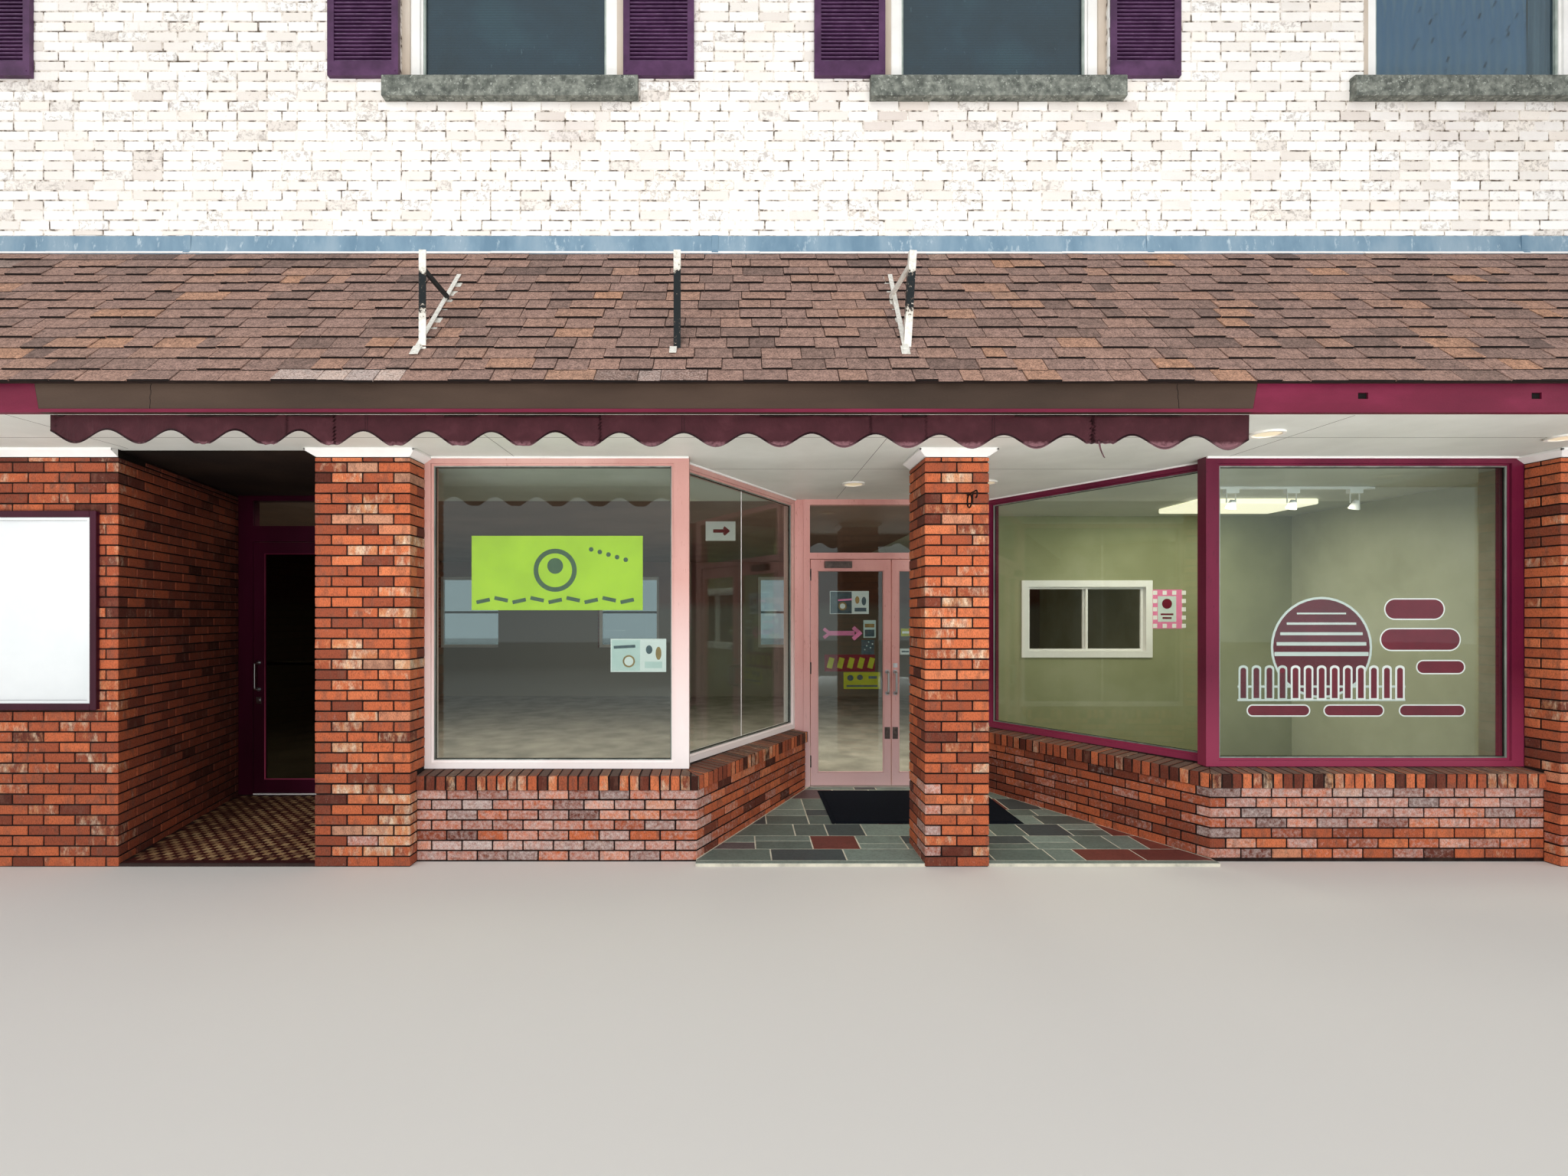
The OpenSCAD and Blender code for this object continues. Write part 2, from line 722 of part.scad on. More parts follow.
module upper_window_casings() {
  color("wheat") placed() for (m = window_mids)
    translate([m - window_w / 2, upper_y + 25, window_foot_z])
      frame(window_w, window_h, 75, casing_w, casing_w, 40, casing_w);
}

// The upper sash stands a rail's thickness in front of the lower one
module sash_frame(w, h, d, side, foot, head, rail) {
  frame(w, h, d, side, side, foot, head, rebate);
  translate([side - 1, rebate + 1, h / 2 - rail / 2]) cube([w - 2 * side + 2, rebate, rail]);
}

module upper_window_frames() {
  color("white") placed() for (m = window_mids)
    translate([m - window_w / 2 + casing_w + fit, upper_y + 40, window_foot_z + 40 + fit])
      sash_frame(window_w - 2 * casing_w - 2 * fit, window_h - 40 - casing_w - 2 * fit, 60,
        pane_in - casing_w, pane_foot - 40, pane_head - casing_w, 44);
}

module window_glass() {
  color("lightblue", 0.4) placed() {
    for (m = window_mids)
      block([m - window_w / 2 + pane_in + fit, upper_y + 80, window_foot_z + pane_foot + 2 * fit],
        [m + window_w / 2 - pane_in - fit, upper_y + 90, head_z - pane_head - 2 * fit]);
    for (m = back_mids, row = [back_rows[0], back_rows[1]])
      block([m - back_window_w / 2 + 60 + fit, depth - 110, row[0] + 60 + fit],
        [m + back_window_w / 2 - 60 - fit, depth - 100, row[1] - 60 - fit]);
  }
}

shutter_h = head_z - sill_z - sill_h;
stile = 45;
shutter_rail = 96;
shutter_t = 32;

// Moulded louvres as one closed section: each has a lip, then slopes back up to the next
lip_h = 8;
lip_y = 5;
louvre_in = 22;

module louvres(z0, z1) {
  rows = floor((z1 - z0) / louvre_pitch);
  translate([stile, 0, 0]) rotate([90, 0, 90]) linear_extrude(shutter_w - 2 * stile)
    polygon(concat([for (i = [0 : rows - 1], p = [[lip_y, 0], [lip_y, lip_h], [louvre_in,
      louvre_pitch - 1], [louvre_in, louvre_pitch]]) [p[0], z0 + i * louvre_pitch + p[1]]],
      [[louvre_in, z1], [shutter_t, z1], [shutter_t, z0]]));
}

module shutter() {
  mid = shutter_h / 2;
  parts = [[shutter_rail, mid - 40], [mid + 40, shutter_h - shutter_rail]];
  difference() {
    cube([shutter_w, shutter_t, shutter_h]);
    for (part = parts) translate([stile, -1, part[0]])
      cube([shutter_w - 2 * stile, shutter_t + 2, part[1] - part[0]]);
  }
  for (part = parts) louvres(part[0], part[1]);
}

module shutters() {
  color("indigo") placed() for (m = shuttered) {
    translate([m - window_w / 2 - shutter_w, upper_y - shutter_t - 3, sill_z + sill_h + 3]) shutter();
    translate([m + window_w / 2, upper_y - shutter_t - 3, sill_z + sill_h + 3]) shutter();
  }
}

module party_walls() {
  color("sienna") placed() for (x = [-half_w, half_w - wall_t])
    block([x, front_t, 0], [x + wall_t, depth - wall_t, parapet_z]);
}

back_rows = [[back_sill_z, back_head_z], [sill_z, head_z]];

module back_wall_bands() {
  color("sienna") placed() {
    block([-half_w, depth - wall_t, 0], [half_w, depth, back_sill_z]);
    block([-half_w, depth - wall_t, back_head_z], [half_w, depth, sill_z]);
    block([-half_w, depth - wall_t, head_z], [half_w, depth, parapet_z]);
  }
}

module back_wall_piers() {
  edges = concat([-half_w],
    [for (m = back_mids) each [m - back_window_w / 2, m + back_window_w / 2]], [half_w]);
  color("sienna") placed() for (i = [0 : 2 : len(edges) - 2], row = back_rows)
    block([edges[i], depth - wall_t, row[0]], [edges[i + 1], depth, row[1]]);
}

module back_window_frames() {
  color("white") placed() for (m = back_mids, row = back_rows)
    translate([m + back_window_w / 2, depth - 60, row[0]]) rotate([0, 0, 180])
      sash_frame(back_window_w, row[1] - row[0], 80, 60, 60, 60, 44);
}

module upper_floor() {
  color("burlywood") placed() block([-half_w + wall_t, front_t, upper_floor_z - 250],
    [half_w - wall_t, depth - wall_t, upper_floor_z]);
}

module roof_deck() {
  color("dimgray") placed() block([-half_w + wall_t, front_t, roof_slab_z],
    [half_w - wall_t, depth - wall_t, roof_slab_z + slab_t]);
}

// Coping stones with a fall to both sides and a drip under each edge
module coping_stone(length, t) {
  o = coping_out;
  rotate([90, 0, 90]) linear_extrude(length) difference() {
    polygon([[-o, 0], [t + o, 0], [t + o, coping_h - 15], [t / 2, coping_h], [-o, coping_h - 15]]);
    for (y = [-o + 12, t + o - 20]) translate([y, -1]) square([8, 9]);
  }
}

module coping() {
  o = coping_out;
  side_l = depth - wall_t - front_t - 2 * o - 8;
  color("lightgray") placed() translate([0, 0, parapet_z]) {
    translate([-half_w - o, upper_y, 0]) coping_stone(2 * (half_w + o), front_t - upper_y);
    translate([-half_w - o, depth - wall_t, 0]) coping_stone(2 * (half_w + o), wall_t);
    for (x = [-half_w + wall_t, half_w]) translate([x, front_t + o + 4, 0]) rotate([0, 0, 90])
      coping_stone(side_l, wall_t);
  }
}

module shop_ceiling() {
  color("white") placed() block([-half_w + wall_t, door_y + frame_d, soffit_z],
    [half_w - wall_t, depth - wall_t, band_z]);
}

serving_y = 3070;
hatch = [[3700, 1230], [5040, 1990]];

module serving_wall() {
  color("olive") placed() difference() {
    block([2900, serving_y, floor_back_z], [half_w - wall_t, serving_y + 120, soffit_z]);
    block([hatch[0][0], serving_y - 1, hatch[0][1]], [hatch[1][0], serving_y + 121, hatch[1][1]]);
  }
}

hatch_t = 62;

// The serving hatch: a casing that laps the wall, with a fixed sash and a sliding one
module hatch_frame() {
  w = hatch[1][0] - hatch[0][0] - 2 * fit;
  h = hatch[1][1] - hatch[0][1] - 2 * fit;
  color("white") placed() translate([hatch[0][0] + fit, serving_y - 18, hatch[0][1] + fit]) {
    frame(w, h, 100, hatch_t / 2, hatch_t / 2, hatch_t / 2, hatch_t / 2);
    translate([-40, 0, -40]) frame(w + 80, h + 80, 17, 60, 60, 60, 60);
    translate([hatch_t / 2 - 1, 30, hatch_t / 2 - 1])
      frame(w / 2 - 10, h - hatch_t + 2, 25, 24, 24, 24, 24);
    translate([w / 2 - hatch_t / 2 + 11, 60, hatch_t / 2 - 1])
      frame(w / 2 - 10, h - hatch_t + 2, 25, 24, 24, 24, 24);
  }
}

board_x = -4696;
board_w = 1100;
board_z = 1030;
board_h = 1286;
panel_t = 30;
board_frame = 58;

module directory_board() {
  color("white") placed() translate([board_x, -panel_t, board_z]) difference() {
    cube([board_w, panel_t - fit, board_h]);
    translate([board_frame, -1, board_frame])
      cube([board_w - 2 * board_frame, panel_t / 2, board_h - 2 * board_frame]);
  }
}

// A wrought bracket: a plate on the brick, an arm, a curl under it and a hook at its end
module plant_hook() {
  arm_z = 96;
  arm_l = 170;
  rod = 5;
  hook_r = 22;
  curl_r = 42;
  color("black") placed() translate([2064, 0, 2330]) {
    block([-12, -4, 0], [12, 0, arm_z + 24]);
    translate([0, -3, arm_z]) rotate([90, 0, 0]) cylinder(h = arm_l, r = rod);
    translate([0, -arm_l - 3, arm_z - hook_r]) rotate([0, -90, 0]) rotate_extrude(angle = -200)
      translate([hook_r, 0]) circle(rod);
    translate([0, -50, arm_z - curl_r - 4]) rotate([0, -90, 0]) rotate_extrude(angle = 330)
      translate([curl_r, 0]) circle(rod);
  }
}

ground_slab();
slate_floor();
tile_floor();
left_front_wall();
splayed_entry_wall();
entry_pier();
entry_side_wall();
middle_pillar();
right_pier();
pier_trims();
front_bulkheads();
angled_bulkheads();
left_window_frame();
left_angled_frame();
right_window_frame();
right_angled_frame();
shopfront_glass();
entry_frame();
left_door_leaf();
left_door_glass();
left_door_hardware();
right_door_leaf();
right_door_glass();
right_door_hardware();
side_door_frame();
side_door_leaf();
side_door_glass();
side_door_hardware();
door_sills();
soffit();
soffit_lights();
fascia();
roof_ends();
valance();
pent_roof();
roof_flashing();
sign_brackets();
upper_wall_bands();
upper_wall_piers();
upper_sills();
upper_window_casings();
upper_window_frames();
window_glass();
shutters();
party_walls();
back_wall_bands();
back_wall_piers();
back_window_frames();
upper_floor();
roof_deck();
coping();
shop_ceiling();
serving_wall();
hatch_frame();
directory_board();
plant_hook();
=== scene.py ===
import math
import random

import bmesh
import bpy
from mathutils import Matrix, Vector


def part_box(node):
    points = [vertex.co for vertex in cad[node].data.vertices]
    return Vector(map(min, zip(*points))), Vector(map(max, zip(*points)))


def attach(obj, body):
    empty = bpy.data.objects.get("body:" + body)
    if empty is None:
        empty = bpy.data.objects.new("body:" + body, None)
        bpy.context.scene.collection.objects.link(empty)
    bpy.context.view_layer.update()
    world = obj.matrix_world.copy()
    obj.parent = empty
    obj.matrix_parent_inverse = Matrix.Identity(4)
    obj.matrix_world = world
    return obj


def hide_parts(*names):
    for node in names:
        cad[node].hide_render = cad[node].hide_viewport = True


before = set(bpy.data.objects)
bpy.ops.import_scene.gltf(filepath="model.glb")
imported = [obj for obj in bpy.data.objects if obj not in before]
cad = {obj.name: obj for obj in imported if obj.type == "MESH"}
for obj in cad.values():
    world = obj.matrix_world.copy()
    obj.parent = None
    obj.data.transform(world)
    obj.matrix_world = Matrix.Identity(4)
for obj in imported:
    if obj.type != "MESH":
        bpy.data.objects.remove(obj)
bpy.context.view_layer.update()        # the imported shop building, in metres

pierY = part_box("middle_pillar")[0].y        # plans below measure Y from the pier fronts
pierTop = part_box("middle_pillar")[1].z
halfWidth = -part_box("left_front_wall")[0].x
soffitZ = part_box("soffit")[0].z
deckLow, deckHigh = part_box("roof_deck")
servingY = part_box("serving_wall")[0].y - pierY
dice = random.Random(4063)

# the camera stands where the photo was taken
street = {"eye": (0.559, -4.6, 1.63), "focalPixels": 920, "centre": (962, 806), "image": (2048, 1536),
          "sensor": 36, "near": 0.05, "far": 200}
wide, high = street["image"]
camera = bpy.data.objects.new("streetView", bpy.data.cameras.new("streetView"))
bpy.context.scene.collection.objects.link(camera)
bpy.context.scene.camera = camera
camera.location = Vector(street["eye"]) + Vector((0, pierY, 0))
camera.rotation_euler = (math.radians(90), 0, 0)
camera.data.sensor_width = street["sensor"]
camera.data.lens = street["sensor"] * street["focalPixels"] / wide
camera.data.shift_x = (wide / 2 - street["centre"][0]) / wide
camera.data.shift_y = (street["centre"][1] - high / 2) / wide
camera.data.clip_start = street["near"]
camera.data.clip_end = street["far"]
bpy.context.scene.view_settings.view_transform = "Standard"


# sRGB hex to linear RGBA
def linear(code):
    parts = [int(code[i:i + 2], 16) / 255 for i in (1, 3, 5)]
    return tuple(c / 12.92 if c <= 0.04045 else ((c + 0.055) / 1.055) ** 2.4 for c in parts) + (1.0,)


# sets a socket, or links it where the value comes from a node
def feed(tree, socket, value):
    if isinstance(value, bpy.types.Node):
        value = value.outputs[2 if value.bl_idname == "ShaderNodeMix" else 0]
    if isinstance(value, bpy.types.NodeSocket):
        tree.links.new(value, socket)
    else:
        socket.default_value = linear(value) if isinstance(value, str) else value


# adds a node, sets it and feeds its inputs
def addNode(tree, kind, links=None, stops=(), **settings):
    made = tree.nodes.new("ShaderNode" + kind)
    for name, value in settings.items():
        setattr(made, name, value)
    if stops:
        marks = made.color_ramp.elements
        marks.remove(marks[0])
        for i, (spot, code) in enumerate(stops):
            mark = marks.new(spot) if i else marks[0]
            mark.position = spot
            mark.color = linear(code) if isinstance(code, str) else (code, code, code, 1)
    for key, value in (links or {}).items():
        feed(tree, made.inputs[key], value)
    return made


# a Principled material with short calls for the nodes that it uses most
class Surface:
    def __init__(self, name, sockets):
        self.material = bpy.data.materials.new(name)
        self.material.use_nodes = True
        self.tree = self.material.node_tree
        self.shader = self.tree.nodes["Principled BSDF"]
        for key, value in sockets.items():
            feed(self.tree, self.shader.inputs[key], value)
        self.spot = self.add("TexCoord").outputs["Object"]

    def add(self, kind, links=None, stops=(), **settings):
        return addNode(self.tree, kind, links, stops, **settings)

    def noise(self, vector, scale, detail=2.0, rough=0.5, distortion=0.0):
        return self.add("TexNoise", {"Vector": vector, "Scale": scale, "Detail": detail, "Roughness": rough,
                                     "Distortion": distortion})

    def ramp(self, value, *stops):
        return self.add("ValToRGB", {"Fac": value}, stops)

    def mix(self, share, base, over, blend="MIX"):
        return self.add("Mix", {0: share, 6: base, 7: over}, data_type="RGBA", blend_type=blend)

    def sum(self, first, second):
        return self.add("Math", {0: first, 1: second}, operation="ADD")

    # maps the span from low to high onto foot to top
    def span(self, value, low, high, top=1.0, foot=0.0):
        return self.add("MapRange", {"Value": value, "From Min": low, "From Max": high, "To Min": foot,
                                     "To Max": top})

    def bump(self, height, strength, distance, under=None, **settings):
        links = {"Height": height, "Strength": strength, "Distance": distance}
        if under is not None:
            links["Normal"] = under
        return self.add("Bump", links, **settings)

    def scaled(self, scale, **more):
        return self.add("Mapping", {"Vector": self.spot, "Scale": scale, **more})

    def axes(self):
        return self.add("SeparateXYZ", {"Vector": self.spot}).outputs

    # how far the face looks up
    def facing(self):
        normal = self.add("NewGeometry").outputs["True Normal"]
        return self.add("SeparateXYZ", {"Vector": normal}).outputs["Z"]

    # each small part's own shade, whole and in its channels
    def tones(self):
        whole = self.add("Attribute", attribute_name="tone").outputs["Color"]
        return whole, self.add("SeparateColor", {"Color": whole}).outputs

    def done(self, colour, relief=None):
        feed(self.tree, self.shader.inputs["Base Color"], colour)
        if relief is not None:
            feed(self.tree, self.shader.inputs["Normal"], relief)
        return self.material


# a surface whose colour drifts over patches `grain` metres wide, with a relief `fine` metres wide,
# spots of another colour (code, size, share) and a zone of another low down (code, from z, to z)
def finish(name, colours, grain, roughness, bump=0.0, fine=0.003, stretch=(1, 1, 1), metallic=0.0,
           spots=None, low=None, spread=(0.35, 0.65)):
    m = Surface(name, {"Metallic": metallic, "Specular IOR Level": 0.35})
    turned = m.scaled(stretch)
    drift = m.noise(turned, 1 / grain, 5, 0.6)
    codes = colours.split()
    step = (spread[1] - spread[0]) / max(1, len(codes) - 1)
    colour = m.ramp(drift, *[(spread[0] + step * i, code) for i, code in enumerate(codes)])
    if spots:
        code, size, share = spots
        start = 0.62 - share * 0.3
        mask = m.ramp(m.noise(turned, 1 / size, 6, 0.7), (start, 0.0), (start + 0.1, 1.0))
        colour = m.mix(mask, colour, code)
    if low:
        code, z0, z1 = low
        ragged = m.add("Math", {0: drift, 1: (z1 - z0) * 0.5, 2: m.axes()["Z"]}, operation="MULTIPLY_ADD")
        colour = m.mix(m.span(ragged, z1, z0), colour, code)
    grit = m.noise(turned, 1 / fine, 4)
    rough = m.span(grit, 0.3, 0.7, min(1, roughness + 0.08), max(0.03, roughness - 0.08))
    feed(m.tree, m.shader.inputs["Roughness"], rough)
    return m.done(colour, m.bump(grit, 0.6, bump) if bump else None)


# pale floor and sky of the studio, and its soft lamps
stage = {"floorSize": 90, "floor": "#e4e2de", "sky": "#f4f5f6", "skyStrength": 0.66}
floorBm = bmesh.new()
bmesh.ops.create_grid(floorBm, x_segments=1, y_segments=1, size=stage["floorSize"] / 2)
floorMesh = bpy.data.meshes.new("studioFloor")
floorBm.to_mesh(floorMesh)
floorBm.free()
floor = bpy.data.objects.new("studioFloor", floorMesh)
bpy.context.scene.collection.objects.link(floor)
matte = Surface("matteStudioFloor", {"Base Color": stage["floor"], "Roughness": 0.9})
floor.data.materials.append(matte.material)

world = bpy.data.worlds.new("paleStudio")
bpy.context.scene.world = world
world.use_nodes = True
sky = world.node_tree
sky.nodes.clear()
rays = addNode(sky, "LightPath").outputs
seen = addNode(sky, "Math", {0: rays["Is Camera Ray"], 1: rays["Is Transmission Ray"]}, operation="MAXIMUM")
seen = addNode(sky, "Math", {0: seen, 1: rays["Is Glossy Ray"]}, operation="MAXIMUM")
dome = addNode(sky, "Background", {"Color": stage["sky"], "Strength": stage["skyStrength"]})
backdrop = addNode(sky, "Background", {"Color": stage["sky"], "Strength": 1.0})
addNode(sky, "OutputWorld", {"Surface": addNode(sky, "MixShader", {0: seen, 1: dome, 2: backdrop})})


# an area lamp turned to a point, seen by nothing but the surfaces it lights
def softLamp(name, spot, aim, size, power, tint="#ffffff", spread=180):
    made = bpy.data.objects.new(name, bpy.data.lights.new(name, "AREA"))
    bpy.context.scene.collection.objects.link(made)
    made.data.shape = "RECTANGLE"
    made.data.size, made.data.size_y = size
    made.data.energy = power
    made.data.color = linear(tint)[:3]
    made.data.spread = math.radians(spread)
    made.location = Vector(spot) + Vector((0, pierY, 0))
    made.visible_glossy = made.visible_camera = made.visible_transmission = False
    made.rotation_mode = "QUATERNION"
    made.rotation_quaternion = (Vector(aim) - Vector(spot)).to_track_quat("-Z", "Y")


softLamp("keyLamp", (-5, -13, 11), (0, 0, 4), (9, 9), 860)
softLamp("fillLamp", (3, -11, 1.4), (0.5, 0, 2.0), (6, 4), 490)
softLamp("bounceLamp", (0.3, -3.6, 0.25), (0.3, -0.3, 2.6), (11, 1.2), 76, spread=64)
softLamp("leftShopLamp", (-2.2, 3.4, 2.62), (-2.2, 3.4, 0), (3.5, 3), 85, "#fff0dc")
softLamp("rightShopLamp", (4.9, 1.7, 2.62), (4.9, 1.9, 0), (1.6, 1.6), 42, "#fff4e2")
softLamp("doorShopLamp", (1.9, 3.4, 2.62), (1.9, 3.4, 0), (1.2, 1.4), 85, "#fff0dc")
print("camera, floor and lamps are set")


# tumbled red facing brick, fired unevenly and reclaimed: cream and smoky patches on orange red.
# the tone attribute holds the brick's shade, its cream share, its salt bloom and a shift
def mottledBrick():
    m = Surface("tumbledFacingBrick", {"Roughness": 0.88})
    whole, parts = m.tones()
    shifted = m.add("VectorMath", {0: m.spot, 1: whole}, operation="ADD")
    shifted = m.add("Mapping", {"Vector": shifted, "Scale": (1, 1, 0.45)})
    base = m.ramp(parts["Red"], (0.0, "#38180f"), (0.1, "#5f2d21"), (0.25, "#8a452f"), (0.42, "#aa5738"),
                  (0.6, "#c16640"), (0.76, "#cf774e"), (0.9, "#be8b70"), (1.0, "#836152"))
    smoke = m.noise(shifted, 22, 4)                            # 45 mm clouds
    base = m.mix(m.ramp(smoke, (0.5, 0.0), (0.75, 0.75)), base, "#6f4a3d")
    patch = m.noise(shifted, 24, 7, 0.72, 0.25)
    cream = m.span(m.sum(patch, parts["Green"]), 0.72, 0.98, 0.9)
    base = m.mix(cream, base, m.ramp(smoke, (0.42, "#cf9468"), (0.58, "#e0c8ac")))
    salt = m.sum(m.noise(m.spot, 40, 6, 0.7), parts["Blue"])
    base = m.mix(m.span(salt, 0.7, 1.15, 0.8), base, "#d6c9c4")
    base = m.mix(m.span(m.facing(), 0.7, 0.95, 0.8), base, "#66554c")      # dirt lies on the upper sides
    speck = m.noise(shifted, 190, 3)                           # 5 mm specks
    base = m.mix(1.0, base, m.ramp(speck, (0.3, 0.6), (0.5, 1.0), (0.7, 1.2)), "MULTIPLY")
    return m.done(base, m.bump(patch, 0.5, 0.003, m.bump(speck, 0.7, 0.002)))


# common brick under many coats of white masonry paint: lumpy, with worn grey and pink patches
def paintedBrick():
    m = Surface("whitewashedBrick", {"Roughness": 0.75})
    parts = m.tones()[1]
    base = m.ramp(parts["Red"], (0.0, "#e4ddd5"), (0.3, "#f3f0eb"), (0.8, "#faf9f6"), (1.0, "#f1e9df"))
    dirt = m.sum(m.noise(m.spot, 1.1, 5, 0.65), parts["Green"])
    base = m.mix(m.span(dirt, 0.72, 1.25, 0.6), base, "#c9b9b0")
    worn = m.sum(m.noise(m.spot, 30, 6, 0.72, 0.8), parts["Blue"])
    base = m.mix(m.span(worn, 0.78, 0.9, 0.65), base, "#a49a93")
    return m.done(base, m.bump(m.noise(m.spot, 60, 5, 0.6), 0.8, 0.006))      # 17 mm lumps


# common brick laid in lime mortar, for the plain sides and back; axis is the wall's long one
def courseBrick(name, axis):
    m = Surface(name, {"Roughness": 0.9})
    flat = m.add("CombineXYZ", {"X": m.axes()[axis], "Y": m.axes()["Z"], "Z": 0.0})
    laid = m.add("TexBrick", {"Vector": flat, "Color1": "#8f4a37", "Color2": "#a65f47", "Mortar": "#9c9388",
                              "Scale": 1.0, "Mortar Size": 0.006, "Mortar Smooth": 0.3,
                              "Brick Width": 0.2032, "Row Height": 0.2032 / 3})
    stain = m.ramp(m.noise(m.spot, 1.3, 6, 0.65), (0.35, 0.62), (0.65, 1.0))
    relief = m.bump(laid.outputs["Fac"], 0.9, 0.006, invert=True)
    return m.done(m.mix(1.0, laid.outputs["Color"], stain, "MULTIPLY"),
                  m.bump(m.noise(m.spot, 120, 4), 0.5, 0.002, relief))


# a material for many like pieces, each with its own shade in the tone attribute
def toned(name, stops, roughness, grain, dark, bump, stain=None, buttShade=None):
    m = Surface(name, {"Roughness": roughness})
    parts = m.tones()[1]
    base = m.ramp(parts["Red"], *stops)
    clouds = m.ramp(m.noise(m.spot, 0.25 / grain, 5), (0.3, 1 - 0.6 * dark), (0.7, 1.0))
    base = m.mix(1.0, base, clouds, "MULTIPLY")
    grit = m.noise(m.spot, 1 / grain, 3, 0.7)
    grits = m.ramp(grit, (0.3, 1 - dark), (0.52, 1.0), (0.75, 1 + 0.5 * dark))
    base = m.mix(1.0, base, grits, "MULTIPLY")
    if stain:
        base = m.mix(m.span(m.sum(grit, parts["Blue"]), 0.75, 1.2, 0.8), base, stain)
    if buttShade:                                                   # painted shade: the faces turned down, the tabs' butt edges, are near black
        base = m.mix(m.span(m.facing(), 0.0, -0.25), base, buttShade)
    return m.done(base, m.bump(grit, 0.7, bump))


# steel angle whose black coat flakes off over white paint and rust, most at the ends of the posts
def flakedSteel(name, bare, foot=0.0, head=0.0):
    m = Surface(name, {"Roughness": 0.7, "Metallic": 0.1})
    flakes = m.noise(m.spot, 55, 7, 0.75)
    height = m.axes()["Z"]
    ends = m.sum(m.span(height, 3.40, 3.28, foot), m.span(height, 3.55, 3.61, head))
    level = m.sum(m.sum(ends, flakes), bare)
    colour = m.ramp(level, (0.6, "#141a1c"), (0.64, "#1d2628"), (0.66, "#6b4a36"), (0.69, "#c9c6ba"),
                    (0.9, "#e9e7df"))
    return m.done(colour, m.bump(flakes, 0.8, 0.002))


# coated awning cloth, plum, creased by the wind and rubbed pink at the dips
def awningVinyl(name, *dark):
    m = Surface(name, {"Roughness": 0.5, "Specular IOR Level": 0.25})
    parts = m.tones()[1]
    colour = m.ramp(m.noise(m.spot, 7, 5, 0.65), *zip((0.3, 0.55, 0.75), dark))
    rub = m.add("Math", {0: m.noise(m.spot, 60, 4), 1: parts["Green"]}, operation="MULTIPLY")
    colour = m.mix(m.span(rub, 0.25, 0.7, 0.4), colour, "#9c7178")
    crease = m.noise(m.scaled((1, 1, 0.6), Rotation=(0, 0.5, 0)), 11, 3, distortion=1.2)
    weave = m.noise(m.spot, 500)                               # 2 mm cloth grain
    return m.done(colour, m.bump(weave, 0.3, 0.0006, m.bump(crease, 0.8, 0.012)))


# float glass: clear, with a cool reflection that grows towards the edge of sight
def paneGlass(name, tint, mirror):
    made = bpy.data.materials.new(name)
    made.use_nodes = True
    tree = made.node_tree
    tree.nodes.clear()
    edge = addNode(tree, "LayerWeight", {"Blend": 0.5}).outputs["Facing"]
    share = addNode(tree, "Math", {0: edge, 1: 5}, operation="POWER")
    share = addNode(tree, "Math", {0: share, 1: 1 - mirror, 2: mirror}, operation="MULTIPLY_ADD",
                    use_clamp=True)
    clear = addNode(tree, "BsdfTransparent", {"Color": tint})
    gloss = addNode(tree, "BsdfPrincipled", {"Base Color": "#dfe9ea", "Metallic": 1.0, "Roughness": 0.02})
    addNode(tree, "OutputMaterial", {"Surface": addNode(tree, "MixShader", {0: share, 1: clear, 2: gloss})})
    return made


# wire cloth that shows pale flecks; its threads are drawn coarser than the real 1.5 mm
def insectScreen():
    m = Surface("insectScreen", {"Roughness": 0.7})
    colour = m.ramp(m.noise(m.spot, 2.2, 5), (0.35, "#34566b"), (0.55, "#446d87"), (0.7, "#5e8b9e"))
    threads = m.add("TexWave", {"Vector": m.spot, "Scale": 18, "Distortion": 0.6}, bands_direction="Z")
    colour = m.mix(1.0, colour, m.ramp(threads, (0.2, 0.82), (0.8, 1.08)), "MULTIPLY")
    flecks = m.ramp(m.noise(m.scaled((1, 1, 0.35)), 30, 4, 0.75), (0.66, 0.0), (0.72, 0.85))
    return m.done(m.mix(flecks, colour, "#b9cdd6"))


# blue plastic film that sways in the sash
def rippledFilm():
    m = Surface("rippledWindowFilm", {"Roughness": 0.22})
    grade = m.span(m.axes()["Z"], 5.3, 6.2)
    sway = m.add("TexWave", {"Vector": m.spot, "Scale": 4.5, "Distortion": 3.0, "Detail": 2},
                 bands_direction="X")
    level = m.add("Math", {0: sway, 1: 0.35, 2: grade}, operation="MULTIPLY_ADD")
    return m.done(m.ramp(level, (0.05, "#e2ecff"), (0.35, "#c3dcff"), (0.8, "#aacfff"), (1.0, "#cbe2ff")))


# black rubber mat with lint in its 12 mm ribs
def ribbedMat():
    m = Surface("ribbedDoorMat", {"Roughness": 0.95, "Specular IOR Level": 0.15})
    lint = m.noise(m.spot, 55, 5, 0.8)
    colour = m.ramp(lint, (0.3, "#0c1016"), (0.64, "#151b24"), (0.72, "#2c333e"), (0.78, "#8f959c"))
    ribs = m.add("TexWave", {"Vector": m.spot, "Scale": 26, "Distortion": 0.3}, bands_direction="Y")
    return m.done(colour, m.bump(ribs, 0.8, 0.003))


# the two shops' ceilings: dark on the left, pale on the right of the party line
def shopCeiling():
    m = Surface("shopCeilingPaint", {"Roughness": 0.85})
    right = m.add("Math", {0: m.axes()["X"], 1: 2.85}, operation="GREATER_THAN")
    cloud = m.noise(m.spot, 1.5, 4)
    leftTone = m.ramp(cloud, (0.3, "#7d655c"), (0.7, "#8d746a"))
    return m.done(m.mix(right, leftTone, m.ramp(cloud, (0.3, "#b4b8ac"), (0.7, "#c4c7ba"))))


def glowing(name, colour, roughness, glow, strength):
    return Surface(name, {"Base Color": colour, "Roughness": roughness, "Emission Color": glow,
                          "Emission Strength": strength}).material


